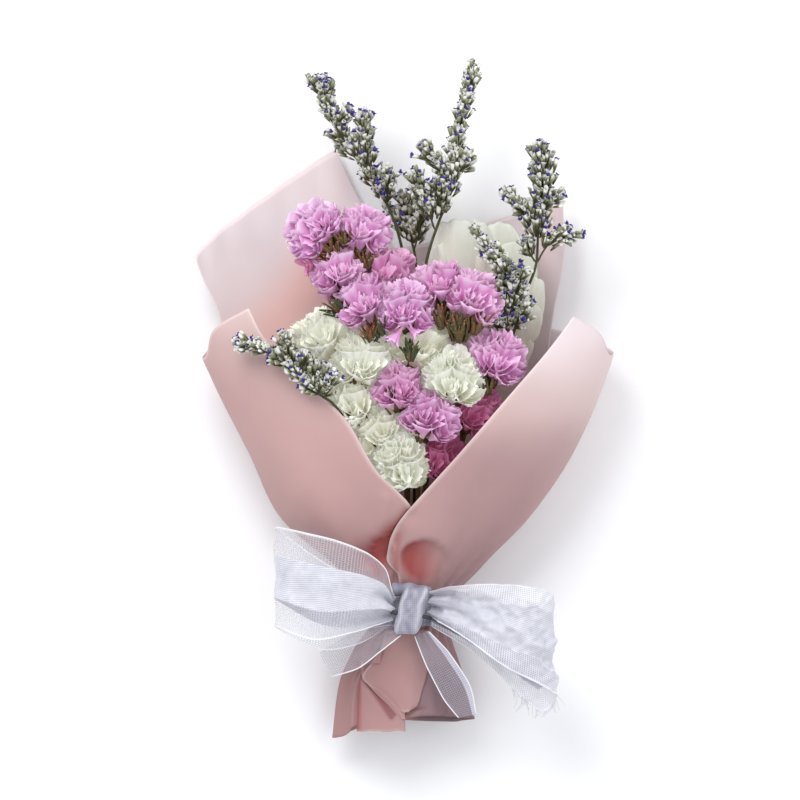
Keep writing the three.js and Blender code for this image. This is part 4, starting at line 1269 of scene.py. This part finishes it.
# The bow's parts: the path of each one's middle, half its width from the middle to one edge at each of
# the path's points, and which edges are corded.
loop = {"cloth": ribbon["width"], "held": "folded"}
tail = {"across": 30, "along": 60, "folds": 0.6, "crumple": 0.2, "cloth": 12, "held": "gathered"}
ribbonParts = {
    "ribbon_loop_left": {
        "spine": [(-2.6, -76.5, 37.5), (-6, -73, 41), (-14, -71.3, 45), (-30, -69.8, 48), (-42, -66.5, 45.5)]
        + [(-46.4, -65.5, 39.5), (-42, -68.5, 34.5), (-28, -76.5, 33.8), (-14, -79, 34), (-2.6, -78.5, 33.8)],
        "half": [(0.3, 5, 0), (1, 10, 0), (2, 14.6, 1.5), (2, 19, 2), (1, 18.6, 1.5)]
        + [(0, 18.2, 0.5), (0, 18, 0), (0.5, 16, 0), (0.5, 11, 0), (0.5, 4.5, 0)],
        "cords": (1,),
        "across": 44,
        "along": 120,
        "folds": 1.0,
        "crumple": 0.2,
        "material": "organzaSatin",
        **loop,
    },
    "ribbon_loop_right": {
        "spine": [(11.2, -75.5, 37.5), (19, -76.5, 42), (30, -79.5, 45), (42, -84, 45.5), (52, -87.5, 43.5)]
        + [(56.4, -91, 38.5), (50, -97, 33.5), (38, -90.5, 32.5), (24, -84.5, 33.2), (11.4, -79.5, 33.8)],
        "half": [(0, 4.6, 0), (1, 7.5, 0), (1.5, 11.5, 1), (1.5, 15.5, 1.5), (0.5, 17.5, 1)]
        + [(-1, 18.5, 0.5), (-3, 18, 0), (-3.5, 16, 0), (-2.5, 8, 0), (0, 4, 0)],
        "cords": (-1,),
        "frayed": 34,
        "across": 60,
        "along": 150,
        "folds": 1.6,
        "crumple": 1.5,
        "material": "organzaCrumpled",
        **loop,
    },
    "ribbon_tail_left": {
        "spine": [(-0.5, -85, 36.3), (-9, -88.5, 34.5), (-18, -93.5, 31), (-27.5, -98, 27)],
        "half": [(1, -2, 0.4), (2.2, -4.2, 1), (2.8, -5.6, 1.4), (2.2, -4.4, 1.6)],
        "cords": (1,),
        "material": "organzaPale",
        **tail,
    },
    "ribbon_tail_right": {
        "spine": [(8, -86.4, 36.6), (14, -96, 34), (20.4, -107, 31.5), (25, -117, 28)],
        "half": [(2.6, 0.9, 0.3), (4.2, 2.4, 0.8), (5, 2.4, 1), (3.2, 0.6, 1)],
        "cords": (-1, 1),
        "material": "organza",
        **tail,
    },
}


def ribbonPoint(part, spine, half, s, w):
    sides = half(s)
    face = headingOf(spine, s).cross(sides).normalized()
    gather = eased(0.55, 1.0, abs(s - 0.5) * 2 if "loop" in part["name"] else 1 - 2 * s)
    ripple = math.sin(w * 7.5 + 2.6 * math.sin(s * 5))
    wave = part["folds"] * (0.35 + gather) * ripple * (1 - 0.35 * abs(w))
    wave += 0.35 * part["folds"] * math.sin(w * 17 + s * 9) * gather
    plain = spine(s) + sides * w
    slanting = Vector((0.11 * (plain.x + plain.y), 0.05 * (plain.x - plain.y), 3 * s))
    rumple = 1 - 2.4 * abs(noise.noise(slanting)) + 0.5 * noise.noise(plain * 0.45)
    wave += part["crumple"] * rumple * (1 - eased(0.8, 1.0, gather))
    crease = gather * (0.5 + 0.5 * ripple) + 0.3 * held(part["crumple"]) * held(0.6 - rumple)
    return plain + face * wave, held(crease)


for name, part in ribbonParts.items():
    part["name"] = name
    spine, half = pathThrough(part["spine"]), pathThrough(part["half"])
    bm = freshMesh("crease", "edge")
    length = lengthOf(spine, 60)

    def rule(u, v):
        place, crease = ribbonPoint(part, spine, half, v, 2 * u - 1)
        edge = eased(0.96, 1.0, abs(2 * u - 1))
        return place * mm, {"crease": crease, "edge": edge}

    bentGrid(bm, part["across"], part["along"], rule, lambda u, v: (v * length, (u - 0.5) * part["cloth"]))
    material = ribbonMaterials[part["material"]]
    sheet = asPiece(bm, name.replace("ribbon", "organza"), material, "ribbon", [name])
    cords = freshMesh("crease", "edge")
    for side in part["cords"]:
        edgePath = lambda s: ribbonPoint(part, spine, half, held(s), side)[0]
        addRod(cords, edgePath, ribbon["cord"], ribbon["cord"], 6, part["along"], {"edge": 1.0})
    welded(cords)
    for n in range(part.get("frayed", 0)):
        start = ribbonPoint(part, spine, half, mixed(0.52, 0.8, scattered(n + 0.2)), -1)[0]
        way = Vector((mixed(-0.9, 0.9, scattered(n + 0.4)), -1, mixed(-0.5, 0.2, scattered(n + 0.6))))
        curl = Vector((mixed(-2, 2, scattered(n + 0.8)), 0, mixed(-1, 1, scattered(n + 0.9))))
        far = start + way.normalized() * mixed(2.5, 6.5, scattered(n + 0.5))
        thread = pathThrough([start, (start + far) / 2 + curl * 0.5, far + curl])
        addRod(cords, thread, *ribbon["thread"], 4, 8, {"crease": 0.1, "edge": 0.6})
    cordPiece = asPiece(cords, name.replace("ribbon", "cord"), gatherMaterial, "ribbon")
    widths = [2 * half(i / 40).length for i in range(41)]
    length * mm
    sum(widths) / 41 * length * mm * mm

# The turn round the neck, between two angles round it.
turn = {"y": -78, "from": 98, "to": 442, "width": 11, "length": 92, "lift": 1.2}
bm = freshMesh("crease", "edge")


def turnRule(u, v):
    across = 2 * v - 1
    ripple = math.sin(across * 9 + 3 * math.sin(u * 21))
    y = turn["y"] + across * turn["width"] / 2
    place = wrapPoint(mixed(turn["from"], turn["to"], u), y, 0, -turn["lift"] - 0.35 * ripple)
    return place, {"crease": 0.5 + 0.5 * ripple}


bentGrid(bm, 160, 14, turnRule, lambda u, v: (u * turn["length"], (v - 0.5) * turn["width"]))
turnPiece = asPiece(bm, "organza_turn", gatherMaterial, "ribbon", ["ribbon_turn"])

# The knot: a band of ribbon drawn tight over the front, folded up at both sides, with a small fold behind
# its top and the dark ends of the elastic at its sides.
knot = {"middle": (4.2, -78, 36.9), "half": (5.6, 8.6, 4.2), "slant": 0.24, "gathers": 9}
bm = freshMesh("crease", "edge")
bmesh.ops.create_uvsphere(bm, u_segments=96, v_segments=64, radius=1.0)
bmesh.ops.rotate(bm, verts=bm.verts, cent=(0, 0, 0), matrix=Matrix.Rotation(math.pi / 2, 3, "Y"))
creaseLayer, edgeLayer = bm.verts.layers.float["crease"], bm.verts.layers.float["edge"]
uvLayer = bm.loops.layers.uv["cloth"]
for vert in bm.verts:
    boxy = Vector([math.copysign(abs(c) ** 0.55, c) for c in vert.co])
    waist = 1 - 0.1 * (1 - boxy.y * boxy.y)
    place = boxy.x + 0.1 * math.sin(3 * boxy.y + 1) + 0.06 * math.sin(7 * boxy.y)
    sideFolds = math.exp(-(((place + 0.72) / 0.17) ** 2)) + math.exp(-(((place - 0.62) / 0.26) ** 2))
    gather = math.sin(knot["gathers"] * place + 1.6 * boxy.y + math.sin(3 * boxy.y))
    across = math.sin(11 * boxy.y + 2.5 * place + 1.5 * math.sin(4 * place))
    across *= eased(0.5, 0.1, abs(place + 0.1))
    lift = 1 + 0.13 * sideFolds + 0.035 * gather + 0.05 * across
    vert[creaseLayer] = held(0.62 - 0.6 * sideFolds - 0.2 * gather - 0.35 * across)
    vert[edgeLayer] = 0.45 * held(sideFolds - 0.55)
    spot = Vector((boxy.x * waist, boxy.y * (1 + 0.4 * (lift - 1)), boxy.z * lift))
    vert.co = Vector(knot["middle"]) + Vector(a * b for a, b in zip(spot, knot["half"]))
    vert.co.x += knot["slant"] * (vert.co.y - knot["middle"][1])
    vert.co *= mm
for face in bm.faces:
    for loop in face.loops:
        loop[uvLayer].uv = (loop.vert.co.y / mm, loop.vert.co.x / mm)
asPiece(bm, "organza_knot", gatherMaterial, "ribbon", ["ribbon_knot"])

bm = freshMesh("crease", "edge")


def foldRule(u, v):
    rolled = mixed(-1.2, 3.9, v)
    arch = math.sin(math.pi * u)
    pleat = math.sin(15 * u + 1.5 * math.sin(3 * v))
    reach = 1.9 + 0.25 * pleat + 0.3 * arch
    y = -70.5 - 1.6 * (u - 0.4) + 0.5 * arch + reach * math.cos(rolled)
    z = 34.6 + arch + reach * math.sin(rolled)
    return Vector((mixed(-3, 11.6, u), y, z)) * mm, {"crease": 1 - 0.3 * pleat}


bentGrid(bm, 60, 20, foldRule, lambda u, v: (14 * u, 10.5 * v))
knotFold = thickened(asPiece(bm, "organza_knot_fold", gatherMaterial, "ribbon"), 0.2)

elasticRadius = 0.75
elasticEnds = {
    "left": [(-3.6, -78.4, 36.2), (-2.4, -78.6, 38.6), (-0.4, -79, 39)],
    "right": [(8.2, -80, 39.6), (10, -80.4, 39.6), (11.8, -81, 38)],
}
bm = freshMesh()
for points in elasticEnds.values():
    addRod(bm, pathThrough(points), elasticRadius, elasticRadius, 10, 12, {})
asPiece(welded(bm), "elastic_ends", tieMaterial, "tie")
print("ribbon made")
